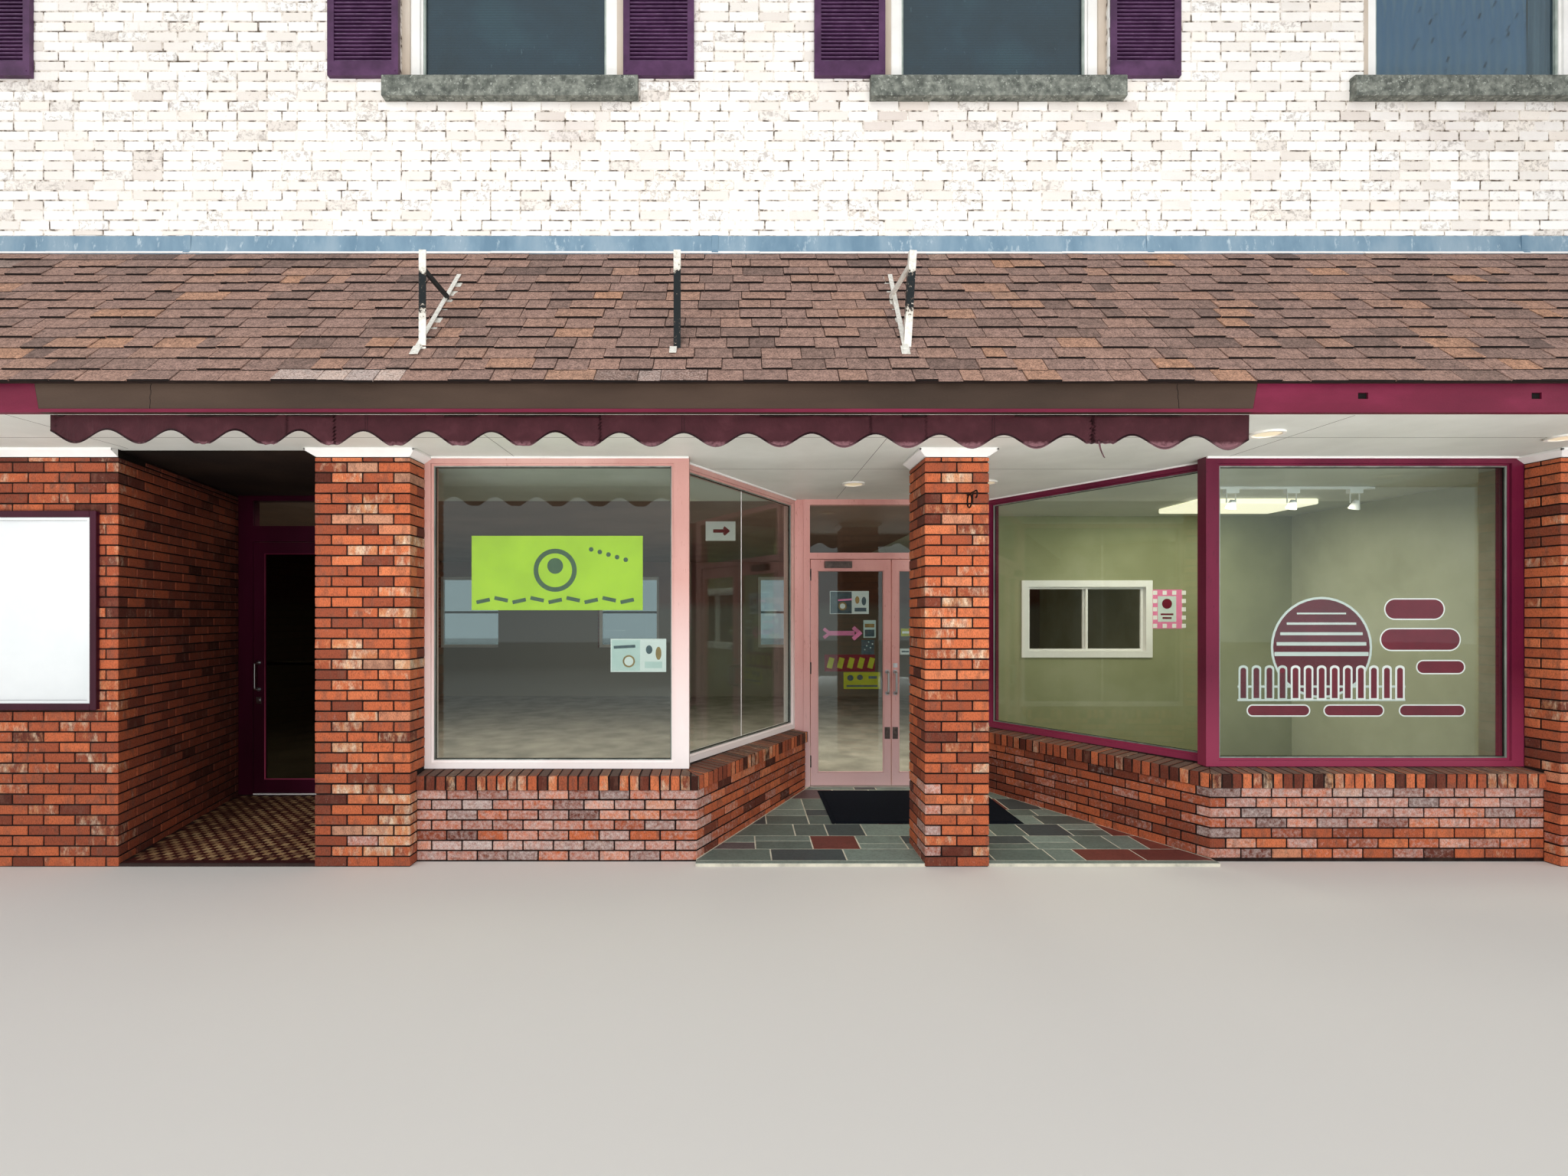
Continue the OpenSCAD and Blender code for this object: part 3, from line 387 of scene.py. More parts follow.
finishes = {
    # mortar of the facing bricks, raked and dark with dirt, and darker still as painted shade in the recessed
    # joints: the joints read as lines
    "rakedMortar": finish("rakedMortar", "#130b0a #1f1412 #33241e", 0.12, 0.95, 0.002, 0.004),
    # mortar under thick masonry paint: pale, with grey where the paint missed
    "paintedMortar": finish("paintedMortar", "#ece6df #cbc1b6 #5f5449", 0.05, 0.85, 0.003, 0.006,
                            spread=(0.42, 0.62)),
    "concrete": finish("castConcrete", "#8d8a84 #a19d96 #b1ada5", 0.4, 0.9, 0.002, 0.006),
    "grout": finish("slateGrout", "#b9b6a8 #d3cfbe #e2ddcb", 0.1, 0.9, 0.001, 0.003),
    "tileBed": finish("tileGrout", "#2a1f1d #3a2c28", 0.1, 0.85, 0.001, 0.003),
    # gloss enamel brushed on wood, gone chalky pink; sun and rain have bleached it near the foot
    "bleachedPink": finish("bleachedPinkEnamel", "#c4938b #cd9f97 #d4aaa1", 0.5, 0.42, 0.0008, 0.006,
                           (1, 1, 0.2), spots=("#a9766c", 0.012, 0.04), low=("#fbf3f1", 0.9, 2.2)),
    "pinkEnamel": finish("pinkEnamel", "#cd918a #d69c95 #dea8a1", 0.5, 0.42, 0.0008, 0.006, (1, 1, 0.2),
                         spots=("#ad7268", 0.012, 0.05), low=("#e9c9c9", 0.1, 1.6)),
    "maroonEnamel": finish("maroonEnamel", "#56122c #661834 #74203d", 0.6, 0.36, 0.0006, 0.006, (1, 1, 0.25),
                           spots=("#450c22", 0.015, 0.05), low=("#a8405f", 0.5, 1.5)),
    "grimyMaroon": finish("grimyMaroonEnamel", "#2b0716 #37091d #430e26", 0.6, 0.42, 0.0006, 0.006,
                          (1, 1, 0.25)),
    "fasciaEnds": finish("fadedMaroonBoard", "#540f27 #60142d #701d39", 0.35, 0.5, 0.0006, 0.004,
                         (0.4, 1, 1)),
    "taupeBoard": finish("taupeBoard", "#33271f #3d2f26 #46372d", 0.5, 0.6, 0.0006, 0.004, (0.3, 1, 1)),
    # the side passage's ceiling and trim, painted near black as shade
    "passageBoard": finish("passageShadeBoard", "#150e0a #1d140f #261b14", 0.5, 0.9, 0.0008, 0.006),
    "whiteEnamel": finish("whiteEnamel", "#f3f1ee #fbfaf8", 0.3, 0.4, 0.0006, 0.005),
    "weatheredSoffit": finish("weatheredSoffit", "#cfd1c9 #d9dbd3 #e2e4dd", 0.9, 0.5, 0.0008, 0.006,
                              spots=("#f4f3ef", 0.006, 0.04)),
    "drawnAluminium": finish("millAluminium", "#a8adae #c3c7c8", 0.05, 0.34, 0.0003, 0.004, (1, 1, 0.1),
                             metallic=1),
    "greyChannel": finish("anodisedChannel", "#7d8680 #939c95 #a6aea7", 0.08, 0.4, 0.0003, 0.004, (1, 1, 0.2),
                          metallic=0.6),
    "darkBronze": finish("bronzeAnodised", "#3a3634 #4a4543", 0.05, 0.4, 0.0003, 0.004, metallic=0.8),
    "darkHardware": finish("darkOiledSteel", "#4a4240 #5a504c #6a5f5a", 0.03, 0.4, 0.0003, 0.004,
                           metallic=0.5),
    "wroughtIron": finish("wroughtIron", "#1a1817 #2a2523", 0.02, 0.6, 0.001, 0.004, metallic=0.6),
    "galvanised": finish("galvanisedSheet", "#6d8ba0 #7f9bae #93a9b8", 0.25, 0.45, 0.0012, 0.02, (1, 1, 0.35),
                         metallic=0.35, spots=("#b9c9d2", 0.05, 0.12)),
    "splitSlateSill": finish("rockFacedSill", "#50544f #6d716a #8a8e85", 0.05, 0.85, 0.006, 0.02,
                             spots=("#a9ada4", 0.02, 0.2)),
    "paleStone": finish("dressedSillStone", "#a9a59c #bab6ad #c6c2b9", 0.2, 0.85, 0.0015, 0.006),
    "plumVinyl": finish("mouldedPlumVinyl", "#3e2140 #4a2a4c #563458", 0.15, 0.38, 0.0004, 0.004),
    "lipVinyl": finish("wornVinylLip", "#5a3f60 #6f5475 #86708b", 0.05, 0.35, 0.0003, 0.004),
    "whiteVinyl": finish("extrudedWhiteVinyl", "#e9e8e4 #f4f3f0", 0.3, 0.4, 0.0003, 0.005),
    "greyBead": finish("greyGlazingBead", "#8a968f #9ba69f #a9b3ac", 0.1, 0.5, 0.0003, 0.004),
    "casingPaint": finish("beigeCasingPaint", "#b5a594 #c4b6a6 #d0c4b6", 0.3, 0.55, 0.0006, 0.005,
                          (1, 1, 0.3)),
    "paleCurtain": finish("sheerCurtain", "#8fa3b8 #b9c6d6 #d7dee8", 0.08, 0.8, 0.0004, 0.002, (1, 1, 0.05)),
    "roofFelt": finish("rolledRoofFelt", "#34322f #45423e", 0.6, 0.95, 0.002, 0.006),
    "asphaltBase": finish("shingleUnderlay", "#241a17 #30231f", 0.1, 0.95, 0.001, 0.004),
    "greenPlaster": finish("oliveWallPaint", "#8f926f #999c79 #a3a585", 0.9, 0.8, 0.0008, 0.008),
    "darkShopWall": finish("greyShopPaint", "#7a5a50 #85635a #906d62", 0.9, 0.8, 0.0008, 0.008,
                           low=("#8f8b82", 1.80, 2.0)),
    "paleShopWall": finish("paleShopPaint", "#aeb094 #bbbda2 #c6c8b0", 0.9, 0.8, 0.0008, 0.008),
    "beigeLining": finish("beigeLiningPaint", "#8b8672 #969180 #a09b8a", 0.3, 0.6, 0.0006, 0.006),
    "floorBoards": finish("floorBoards", "#6b4f39 #7c5c43 #8a6a4e", 0.4, 0.6, 0.0006, 0.01, (1, 0.1, 1)),
    "lampTrim": finish("pressedLampTrim", "#e6e2da #f2efe8", 0.05, 0.35, 0.0002, 0.004),
    "deadDark": finish("unlitVoid", "#0b0908 #14100f", 0.1, 0.9),
    # signboards and printed sheets
    "boardFace": finish("whiteSignboard", "#dde2e3 #e6eaeb", 0.6, 0.45, 0.0003, 0.006),
    "greyInk": finish("printedGreyInk", "#6d7073 #7a7d80", 0.1, 0.5),
    "limeSheet": finish("limePrintedSheet", "#bfe010 #c8ea14 #d0f01c", 0.4, 0.35, 0.0002, 0.004),
    "darkGreenInk": finish("darkGreenInk", "#3f5a3c #4a6847", 0.05, 0.5),
    "maroonInk": finish("maroonWindowFilm", "#6a0d26 #7a132d", 0.2, 0.35),
    "whiteInk": finish("whiteWindowFilm", "#f4f4f2 #fbfbfa", 0.2, 0.35),
    "redFilm": finish("redWindowFilm", "#7a1526 #8a1c2e", 0.1, 0.35),
    "paleSheet": finish("palePrintedSheet", "#cfe0dd #dbe8e4", 0.1, 0.45),
    "slateInk": finish("slateBlueInk", "#46565e #566870", 0.03, 0.5),
    "pinkSheet": finish("pinkFluorescentCard", "#f07fae #f690ba", 0.1, 0.5),
    "ochreSheet": finish("ochrePrintedSheet", "#b7b42a #c6c331", 0.1, 0.45),
    "tanInk": finish("tanInk", "#9a7c4c #b08f59", 0.05, 0.5),
    "mottledBrick": mottledBrick(),
    "paintedBrick": paintedBrick(),
    "sideBrick": courseBrick("commonBrickSides", "Y"),
    "backBrick": courseBrick("commonBrickBack", "X"),
    # mineral granules pressed into asphalt: brown and red-brown blends, matte; the tabs' butt edges are painted
    # near black as the shade under each course
    "shingle": toned("mineralGranules", [(0.0, "#7a655e"), (0.2, "#967b70"), (0.45, "#ab8b7f"),
                                         (0.75, "#b69180"), (0.92, "#cb9a7c"), (1.0, "#988c88")],
                     0.95, 0.009, 0.72, 0.002, stain="#dcd5d0", buttShade="#140e0d"),
    # split slate, honed by feet: green, blue-black, plum and red-brown
    "slate": toned("cleftSlate", [(0.0, "#3c444c"), (0.2, "#56625f"), (0.42, "#6c7b74"), (0.6, "#8b9b93"),
                                  (0.72, "#5f575b"), (0.84, "#6e3a36"), (1.0, "#7f453d")],
                   0.5, 0.02, 0.25, 0.0015),
    # unglazed floor tiles, dark red and buff
    "floorTile": toned("encausticTile", [(0.0, "#3a1716"), (0.3, "#4f211c"), (0.5, "#7a5a44"),
                                         (0.75, "#a8865f"), (1.0, "#c2a377")], 0.55, 0.02, 0.2, 0.0006),
    "shopGlass": paneGlass("shopfrontGlass", "#eef3f1", 0.05),
    "doorGlass": paneGlass("smokedDoorGlass", "#7d7a70", 0.02),
    "windowGlass": paneGlass("sashGlass", "#c3ced1", 0.07),
    "postPaint": flakedSteel("flakingPostPaint", 0.05, 0.3, 0.3),
    "blackPostPaint": flakedSteel("blackPostPaint", 0.0, 0.04, 0.3),
    "railPaint": flakedSteel("flakingRailPaint", 0.34),
    "tiePaint": flakedSteel("blackTiePaint", -0.1),
    "valanceCloth": awningVinyl("coatedAwningCloth", "#2f1217", "#39181e", "#452228"),
    "valanceTape": awningVinyl("bindingTape", "#1c0b0f", "#261116", "#30181d"),
    "insectScreen": insectScreen(),
    "windowFilm": rippledFilm(),
    "doorMat": ribbedMat(),
    "shopCeiling": shopCeiling(),
    "lampLens": glowing("frostedLampLens", "#f3ead2", 0.3, "#ffe2b0", 0.35),
    "opalPanel": glowing("opalLightPanel", "#fbf6e6", 0.4, "#fff3d6", 1.1),
}

nodesOf = {
    "concrete": "ground_slab", "grout": "slate_floor", "tileBed": "tile_floor",
    "rakedMortar": "left_front_wall splayed_entry_wall entry_pier entry_side_wall middle_pillar right_pier "
                   "front_bulkheads angled_bulkheads",
    "whiteEnamel": "pier_trims hatch_frame",
    "bleachedPink": "left_window_frame left_angled_frame",
    "maroonEnamel": "right_window_frame right_angled_frame roof_ends",
    "pinkEnamel": "entry_frame left_door_leaf right_door_leaf",
    "grimyMaroon": "side_door_frame side_door_leaf",
    "shopGlass": "shopfront_glass left_door_glass right_door_glass",
    "doorGlass": "side_door_glass", "windowGlass": "window_glass",
    "drawnAluminium": "left_door_hardware right_door_hardware side_door_hardware door_sills",
    "weatheredSoffit": "soffit", "lampTrim": "soffit_lights", "fasciaEnds": "fascia",
    "plumVinyl": "valance shutters",
    "asphaltBase": "pent_roof", "galvanised": "roof_flashing", "postPaint": "sign_brackets",
    "paintedMortar": "upper_wall_bands upper_wall_piers", "splitSlateSill": "upper_sills",
    "casingPaint": "upper_window_casings", "whiteVinyl": "upper_window_frames back_window_frames",
    "sideBrick": "party_walls", "backBrick": "back_wall_bands back_wall_piers",
    "floorBoards": "upper_floor", "roofFelt": "roof_deck", "paleStone": "coping",
    "shopCeiling": "shop_ceiling", "greenPlaster": "serving_wall",
    "boardFace": "directory_board", "wroughtIron": "plant_hook",
}
for finishName, nodeNames in nodesOf.items():
    for nodeName in nodeNames.split():
        mesh = cad[nodeName].data
        mesh.materials.clear()
        mesh.materials.append(finishes[finishName])


# gives the faces that pick() accepts another finish; Y counts from the pier fronts
def repaint(nodeName, finishName, pick):
    mesh = cad[nodeName].data
    mesh.materials.append(finishes[finishName])
    for face in mesh.polygons:
        x, y, z = face.center
        if pick(x, y - pierY, z, face.normal):
            face.material_index = len(mesh.materials) - 1


print("finishes are on the frame's nodes")


# a bmesh with the attribute that holds each part's shade
def newMesh():
    bm = bmesh.new()
    bm.verts.layers.float_color.new("tone")
    return bm


def moved(x, y, z):
    return Matrix.Translation((x, y, z))


def turned(degrees, axis):
    return Matrix.Rotation(math.radians(degrees), 4, axis)


# places things along a plan line: X runs from a to b
def alongLine(a, b):
    return moved(a[0], a[1], 0) @ Matrix.Rotation(math.atan2(b[1] - a[1], b[0] - a[0]), 4, "Z")


# shades new corners and knocks them about a little
def treat(bm, corners, tone, wobble):
    layer = bm.verts.layers.float_color["tone"]
    for corner in corners:
        if tone:
            corner[layer] = tone
        if wobble:
            corner.co += Vector([dice.uniform(-wobble, wobble) for _ in range(3)])


# a block between two corners, turned by a matrix
def addBlock(bm, low, high, turn=None, tone=None, wobble=0.0):
    low, high = Vector(low), Vector(high)
    place = Matrix.Translation((low + high) / 2) @ Matrix.Diagonal((*(high - low), 1))
    made = bmesh.ops.create_cube(bm, size=1, matrix=turn @ place if turn else place)
    treat(bm, made["verts"], tone, wobble)


# a prism over a plan that runs anticlockwise
def addPrism(bm, plan, z0, z1, tone=None, wobble=0.0):
    base = bm.faces.new([bm.verts.new((x, y, z0)) for x, y in plan])
    made = bmesh.ops.extrude_face_region(bm, geom=[base])["geom"]
    up = [part for part in made if isinstance(part, bmesh.types.BMVert)]
    bmesh.ops.translate(bm, vec=(0, 0, z1 - z0), verts=up)
    treat(bm, up + list(base.verts), tone, wobble)


# a cone or rod about the Z of its matrix
def addCone(bm, segments, radius, radiusTop, depth, place):
    return bmesh.ops.create_cone(bm, cap_ends=True, segments=segments, radius1=radius, radius2=radiusTop,
                                 depth=depth, matrix=place)["verts"]


# four strips inside an opening
def addRing(bm, turn, x0, x1, z0, z1, width, y0, y1):
    addBlock(bm, (x0, y0, z0), (x0 + width, y1, z1), turn)
    addBlock(bm, (x1 - width, y0, z0), (x1, y1, z1), turn)
    addBlock(bm, (x0 + width, y0, z0), (x1 - width, y1, z0 + width), turn)
    addBlock(bm, (x0 + width, y0, z1 - width), (x1 - width, y1, z1), turn)


# a thin sheet over a grid whose points shape(u, v) places, with u and v from 0 to 1
def addGrid(bm, columns, rows, thick, shape, shade=None):
    bmesh.ops.create_grid(bm, x_segments=columns, y_segments=rows, size=0.5)
    layer = bm.verts.layers.float_color["tone"]
    for vert in bm.verts:
        vert.co = shape(vert.co.x + 0.5, vert.co.y + 0.5)
        if shade:
            vert[layer] = shade(vert.co.x, vert.co.z)
    bmesh.ops.solidify(bm, geom=list(bm.faces), thickness=thick)


# cuts off what lies beyond an upright plane, and closes the cut
def cutBy(bm, x, y, normal):
    made = bmesh.ops.bisect_plane(bm, geom=list(bm.verts) + list(bm.edges) + list(bm.faces), dist=1e-6,
                                  plane_co=(x, y, 0), plane_no=(*normal, 0), clear_outer=True)
    rim = [part for part in made["geom_cut"] if isinstance(part, bmesh.types.BMEdge)]
    bmesh.ops.holes_fill(bm, edges=rim, sides=0)


# tilts and lifts what was made level, by a fall along Y
def layAslant(bm, lift, fall):
    lean = Matrix.Identity(4)
    lean[2][1] = fall
    bmesh.ops.transform(bm, matrix=moved(0, 0, lift) @ lean, verts=list(bm.verts))


def softenEdges(bm, width, segments=1):
    bmesh.ops.bevel(bm, geom=list(bm.edges), offset=width, segments=segments, affect="EDGES", profile=0.5,
                    material=-1)


# closes a bmesh into a named piece that rides on a body
def addPiece(name, bm, finishNames, body="building", smooth=False):
    bmesh.ops.recalc_face_normals(bm, faces=list(bm.faces))
    bmesh.ops.translate(bm, vec=(0, pierY, 0), verts=list(bm.verts))
    mesh = bpy.data.meshes.new(name)
    bm.to_mesh(mesh)
    bm.free()
    for finishName in finishNames.split():
        mesh.materials.append(finishes[finishName])
    mesh.polygons.foreach_set("use_smooth", [smooth] * len(mesh.polygons))
    piece = bpy.data.objects.new(name, mesh)
    bpy.context.scene.collection.objects.link(piece)
    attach(piece, body)
    return piece


# plan of the shopfront: faces of the piers and pillar, corners of the bulkheads and of the side passage
plan = {"pier": (-2.186, -1.5764), "pillar": (1.794, 2.2004), "rightPier": 5.9436, "deep": 0.4064,
        "bulkheadY": 0.1, "doorY": 1.9, "leftBend": 0.291, "leftEnd": 1.190, "rightEnd": 2.8,
        "rightBend": 3.72, "passage": (-3.481, -3.931, -2.636), "passageY": 1.745}
entryLeft, entryRight = plan["pier"]
leftBend, leftEnd = (plan["leftBend"], plan["bulkheadY"]), (plan["leftEnd"], plan["doorY"])
rightEnd, rightBend = (plan["rightEnd"], plan["doorY"]), (plan["rightBend"], plan["bulkheadY"])
leftStart, rightStop = (entryRight, plan["bulkheadY"]), (plan["rightPier"], plan["bulkheadY"])
passageStart = (plan["passage"][0], 0)
passageLeft, passageRight = [(x, plan["passageY"]) for x in plan["passage"][1:]]

# facing brick of the shopfront
brickwork = {"length": 0.2032, "course": 0.2032 / 3, "joint": 0.010, "proud": 0.006, "bury": 0.010,
             "edge": 0.003, "wobble": 0.0012, "wrapTurn": 40, "leastHeight": 0.012, "leastEnd": 0.045,
             "stretcher": 0.155, "cream": [0, 0, 0, 0, 0, 0.08, 0.16, 0.3],
             "creamInFront": [0, 0, 0, 0.05, 0.1, 0.18, 0.28, 0.38]}
brickLength, course = brickwork["length"], brickwork["course"]


# shade, cream share, salt bloom and shift of one brick; the run's painted shade darkens it and thins its cream
def brickTone(x, y, z, paintedShade):
    inFront = abs(y) < 0.02
    cream = dice.choice(brickwork["creamInFront"] if inFront else brickwork["cream"])
    if x < -2.1 and y > 0.02:                                 # painted shade: the side passage's bricks darken inwards, as the shade deepens
        paintedShade = min(0.85, paintedShade + 0.4 * y / plan["passageY"])
    bloom = dice.uniform(0, 0.12)
    if y > 0.06 and z < 0.5 and -1.57 < x < 5.93:             # the bulkheads are dusty, most in front
        bloom += dice.uniform(0.24, 0.4) if y < 0.15 else dice.uniform(0.02, 0.18)
        cream *= 0.6
    if -1.6 < x < 0.3 and y > 0.05 and 0.05 < z < 0.21:       # salts on the left bulkhead's lower courses
        bloom = dice.uniform(0.35, 0.6) if z < 0.14 else dice.uniform(0.15, 0.45)
    if -2.2 < x < -1.5 and y < 0.05 and 0.13 < z < 0.2:       # on the entry pier
        bloom = dice.uniform(0.2, 0.45)
    if x > 3.7 and z < 0.2:                                   # and on the right
        bloom = dice.uniform(0.0, 0.42)
    shade = min(1, max(0, dice.triangular(0.02, 1.0, 0.58) * (1 - paintedShade)))
    return (shade, cream * (1 - paintedShade), bloom, dice.random())


# where the upright joints of one course lie along each span; stretchers and headers take turns
def markSpans(spans, long):
    cuts = []
    for a, c in spans:
        length = (c - a).length
        marks = [0.0]
        step = brickLength if long else brickLength / 2
        while marks[-1] + step < length - brickwork["leastEnd"]:
            marks.append(marks[-1] + step)
            step = brickLength
        marks.append(length)
        long = marks[-1] - marks[-2] < brickwork["stretcher"]
        cuts.append(marks)
    return cuts


# running bond along a plan line whose outside is on its right; bricks wrap its sharp corners; each span carries
# its own painted shade
def layRun(bm, path, low, high, origin=0.0, closed=False, phase=0, paintedShade=(0,)):
    half, proud, wobble = brickwork["joint"] / 2, brickwork["proud"], brickwork["wobble"]
    points = [Vector(p) for p in path]
    spans = list(zip(points, points[1:] + (points[:1] if closed else [])))
    ways = [(c - a).normalized() for a, c in spans]
    outs = [Vector((way.y, -way.x)) for way in ways]
    sharp = [math.degrees(ways[i].angle(ways[(i + 1) % len(ways)])) > brickwork["wrapTurn"]
             and (closed or i + 1 < len(ways)) for i in range(len(ways))]
    first = math.floor((low - origin) / course + 1e-6)
    for k in range(first, math.ceil((high - origin) / course - 1e-6)):
        z0 = max(low, origin + k * course) + half
        z1 = min(high, origin + (k + 1) * course) - half
        if z1 - z0 < brickwork["leastHeight"]:
            continue
        cuts = markSpans(spans, (k + phase) % 2 == 0)
        for i, (a, end) in enumerate(spans):
            after = (i + 1) % len(spans)
            shade = paintedShade[i] if i < len(paintedShade) else paintedShade[-1]
            for j in range(len(cuts[i]) - 1):
                s0, s1 = cuts[i][j] + half, cuts[i][j + 1] - half
                if j == 0 and sharp[i - 1]:
                    continue                                   # made with the corner before it
                middle = a + ways[i] * (s0 + s1) / 2
                tone = brickTone(middle.x, middle.y, z0, shade)
                if j == len(cuts[i]) - 2 and sharp[i]:
                    nose = end + (outs[i] + outs[after]) * proud / (1 + outs[i].dot(outs[after]))
                    near = a + ways[i] * s0 + outs[i] * proud
                    far = end + ways[after] * (cuts[after][1] - half) + outs[after] * proud
                    addPrism(bm, [near, nose, far, near + far - nose], z0, z1, tone, wobble)
                else:
                    addBlock(bm, (s0, -proud, z0), (s1, brickwork["bury"], z1), alongLine(a, end), tone,
                             wobble)


capFoot = {"left": 0.480, "right": 0.495}                      # the rowlocks stand on these course lines
nine = 9 * course
wallEnds = {"pierBack": 0.215, "bulkheadFoot": 0.003, "cove": soffitZ - 0.001}
bricks = newMesh()
# painted shade on the runs: the left wall and side passage, the sides of the piers and pillar turned from the
# light, and the angled bulkheads under the canopy
layRun(bricks, [(-halfWidth, 0), passageStart, passageLeft], 0, pierTop, phase=1, paintedShade=(0.3, 0.42))
for top, foot, back in ((nine, 0, plan["bulkheadY"]), (pierTop, nine, wallEnds["pierBack"])):
    layRun(bricks, [passageRight, (entryLeft, plan["deep"]), (entryLeft, 0), (entryRight, 0),
                    (entryRight, back)], foot, top, paintedShade=(0.4, 0.3, 0, 0.15))
    layRun(bricks, [(plan["rightPier"], back), (plan["rightPier"], 0), (halfWidth, 0)], foot, top,
           paintedShade=(0.15, 0.1))
pillarLeft, pillarRight = plan["pillar"]
layRun(bricks, [(pillarLeft, 0), (pillarRight, 0), (pillarRight, plan["deep"]), (pillarLeft, plan["deep"])],
       0, pierTop, closed=True, paintedShade=(0.05, 0.15, 0.2, 0.15))
for side, path, phase, paintedShade in (("left", [leftStart, leftBend, leftEnd], 1, (0.12, 0.18)),
                                ("right", [rightEnd, rightBend, rightStop], 0, (0.36, 0.1))):
    layRun(bricks, path, wallEnds["bulkheadFoot"], capFoot[side], capFoot[side] - 8 * course, phase=phase,
           paintedShade=paintedShade)
# the passage walls above the piers carry the deepest painted shade
layRun(bricks, [(-3.560, 0.307), passageLeft], pierTop, wallEnds["cove"], phase=1, paintedShade=(0.5,))
layRun(bricks, [passageRight, (entryLeft, plan["deep"] + 0.001)], pierTop, wallEnds["cove"], paintedShade=(0.5,))
softenEdges(bricks, brickwork["edge"])
addPiece("facingBricks", bricks, "mottledBrick")
print("facing bricks are laid")

# rowlock caps of the bulkheads
cap = {"pitch": course, "face": 0.096, "rise": 0.0187, "out": 0.024, "back": 0.160, "edge": 0.004,
       "joint": 0.004, "past": 0.14, "least": 0.03, "wobble": 0.0015}


# bricks on edge along a line, leaning up to the window, then mitred at the corner
def layRowlocks(bm, foot, start, end, cutStart, cutEnd):
    lean = Matrix.Identity(4)
    lean[2][1] = cap["rise"] / (cap["out"] + cap["back"])
    s = -cap["past"] if cutStart else 0.0
    far = (Vector(end) - Vector(start)).length + (cap["past"] if cutEnd else 0)
    row = newMesh()
    while s < far - cap["least"]:
        stop = min(s + cap["pitch"], far)
        tone = (dice.uniform(0.0, 0.75), dice.choice([0, 0, 0.1, 0.3]), dice.uniform(0, 0.1), dice.random())
        addBlock(row, (s + cap["joint"], -cap["out"], foot),
                 (stop - cap["joint"], cap["back"], foot + cap["face"]), alongLine(start, end) @ lean, tone,
                 cap["wobble"])
        s += cap["pitch"]
    for point, normal in ((start, cutStart), (end, cutEnd)):
        if normal:
            cutBy(row, *point, normal)
    softenEdges(row, cap["edge"])
    spare = bpy.data.meshes.new("rowlockRow")
    row.to_mesh(spare)
    row.free()
    bm.from_mesh(spare)
    bpy.data.meshes.remove(spare)


rowlocks = newMesh()
for side, a, b, c in (("left", leftStart, leftBend, leftEnd), ("right", rightEnd, rightBend, rightStop)):
    mitre = (Vector(b) - Vector(a)).normalized() + (Vector(c) - Vector(b)).normalized()
    mitre.normalize()                                          # the plane that halves the corner
    layRowlocks(rowlocks, capFoot[side], a, b, None, mitre)
    layRowlocks(rowlocks, capFoot[side], b, c, -mitre, None)
addPiece("rowlockCaps", rowlocks, "mottledBrick")
print("rowlock caps are laid")

# painted brick of the upper storey
upper = {"faceY": 0.2032, "foot": 4.232, "top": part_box("coping")[0].z, "mids": (-5.471, -0.971, 2.329, 5.599),
         "width": 1.524, "sillZ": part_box("upper_sills")[0].z, "headZ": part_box("upper_wall_piers")[1].z,
         "proud": 0.0045, "bury": 0.006, "edge": 0.0035, "joint": 0.009, "wobble": 0.002,
         "leastHeight": 0.015, "leastEnd": 0.05, "damp": (4.85, 5.15), "dampReach": 0.9}
painted = newMesh()
for k in range(math.floor(upper["foot"] / course), math.ceil(upper["top"] / course)):
    half = upper["joint"] / 2
    z0 = max(upper["foot"], k * course + half)
    z1 = min(upper["top"] - 0.003, (k + 1) * course - half)
    if z1 - z0 < upper["leastHeight"]:
        continue
    edges = [-halfWidth]
    if upper["sillZ"] + 0.02 < (z0 + z1) / 2 < upper["headZ"]:
        for mid in upper["mids"]:
            edges += [mid - upper["width"] / 2, mid + upper["width"] / 2]
    edges.append(halfWidth)
    x = -halfWidth + (0 if k % 2 else brickLength / 2) - 0.3 * brickLength * (k % 4 == 3)
    marks = []
    while x < halfWidth + 0.3:
        marks.append(x)
        x += brickLength * (1 if dice.random() > 0.06 else 0.5)
    for left, right in zip(edges[::2], edges[1::2]):
        inside = [m for m in marks if left + upper["leastEnd"] < m < right - upper["leastEnd"]]
        ends = [left] + inside + [right]
        for x0, x1 in zip(ends, ends[1:]):
            nearSill = any(abs((x0 + x1) / 2 - mid) < upper["dampReach"] for mid in upper["mids"])
            damp = 0.28 if nearSill and upper["damp"][0] < z0 < upper["damp"][1] else 0
            tone = (dice.random(), dice.uniform(0, 0.3) + damp, dice.choice([0, 0, 0, 0.06, 0.12, 0.2, 0.3]),
                    dice.random())
            out = upper["proud"] * dice.uniform(0.6, 1.1)
            addBlock(painted, (x0 + half, upper["faceY"] - out, z0),
                     (x1 - half, upper["faceY"] + upper["bury"], z1), None, tone, upper["wobble"])
softenEdges(painted, upper["edge"])
addPiece("paintedBricks", painted, "paintedBrick")
print("painted bricks are laid")

# roof shingles; points of the roof's slope are (y, z)
roofFoot, roofTop = Vector((-0.846, 2.896)), Vector((0.2032, 4.117))
shingles = {"courses": 14, "thin": 0.009, "thick": 0.016, "tuck": 0.035, "gap": 0.004, "widths": (0.11, 0.29),
            "edge": 0.0014, "overhang": 0.020, "short": 0.012, "verge": 0.002, "least": 0.06,
            "wobble": 0.0008, "washed": ((-1.85, -1.1), (-0.35, 0.4))}
slope = (roofTop - roofFoot).normalized()
rise = (roofTop - roofFoot).length - shingles["short"]
slopeSpin = Matrix.Rotation(math.atan2(slope.y, slope.x), 4, "X")
roofTurn = moved(0, *roofFoot) @ slopeSpin
exposure = (rise + shingles["overhang"]) / shingles["courses"]
rightVerge = halfWidth - shingles["verge"]
tabs = newMesh()
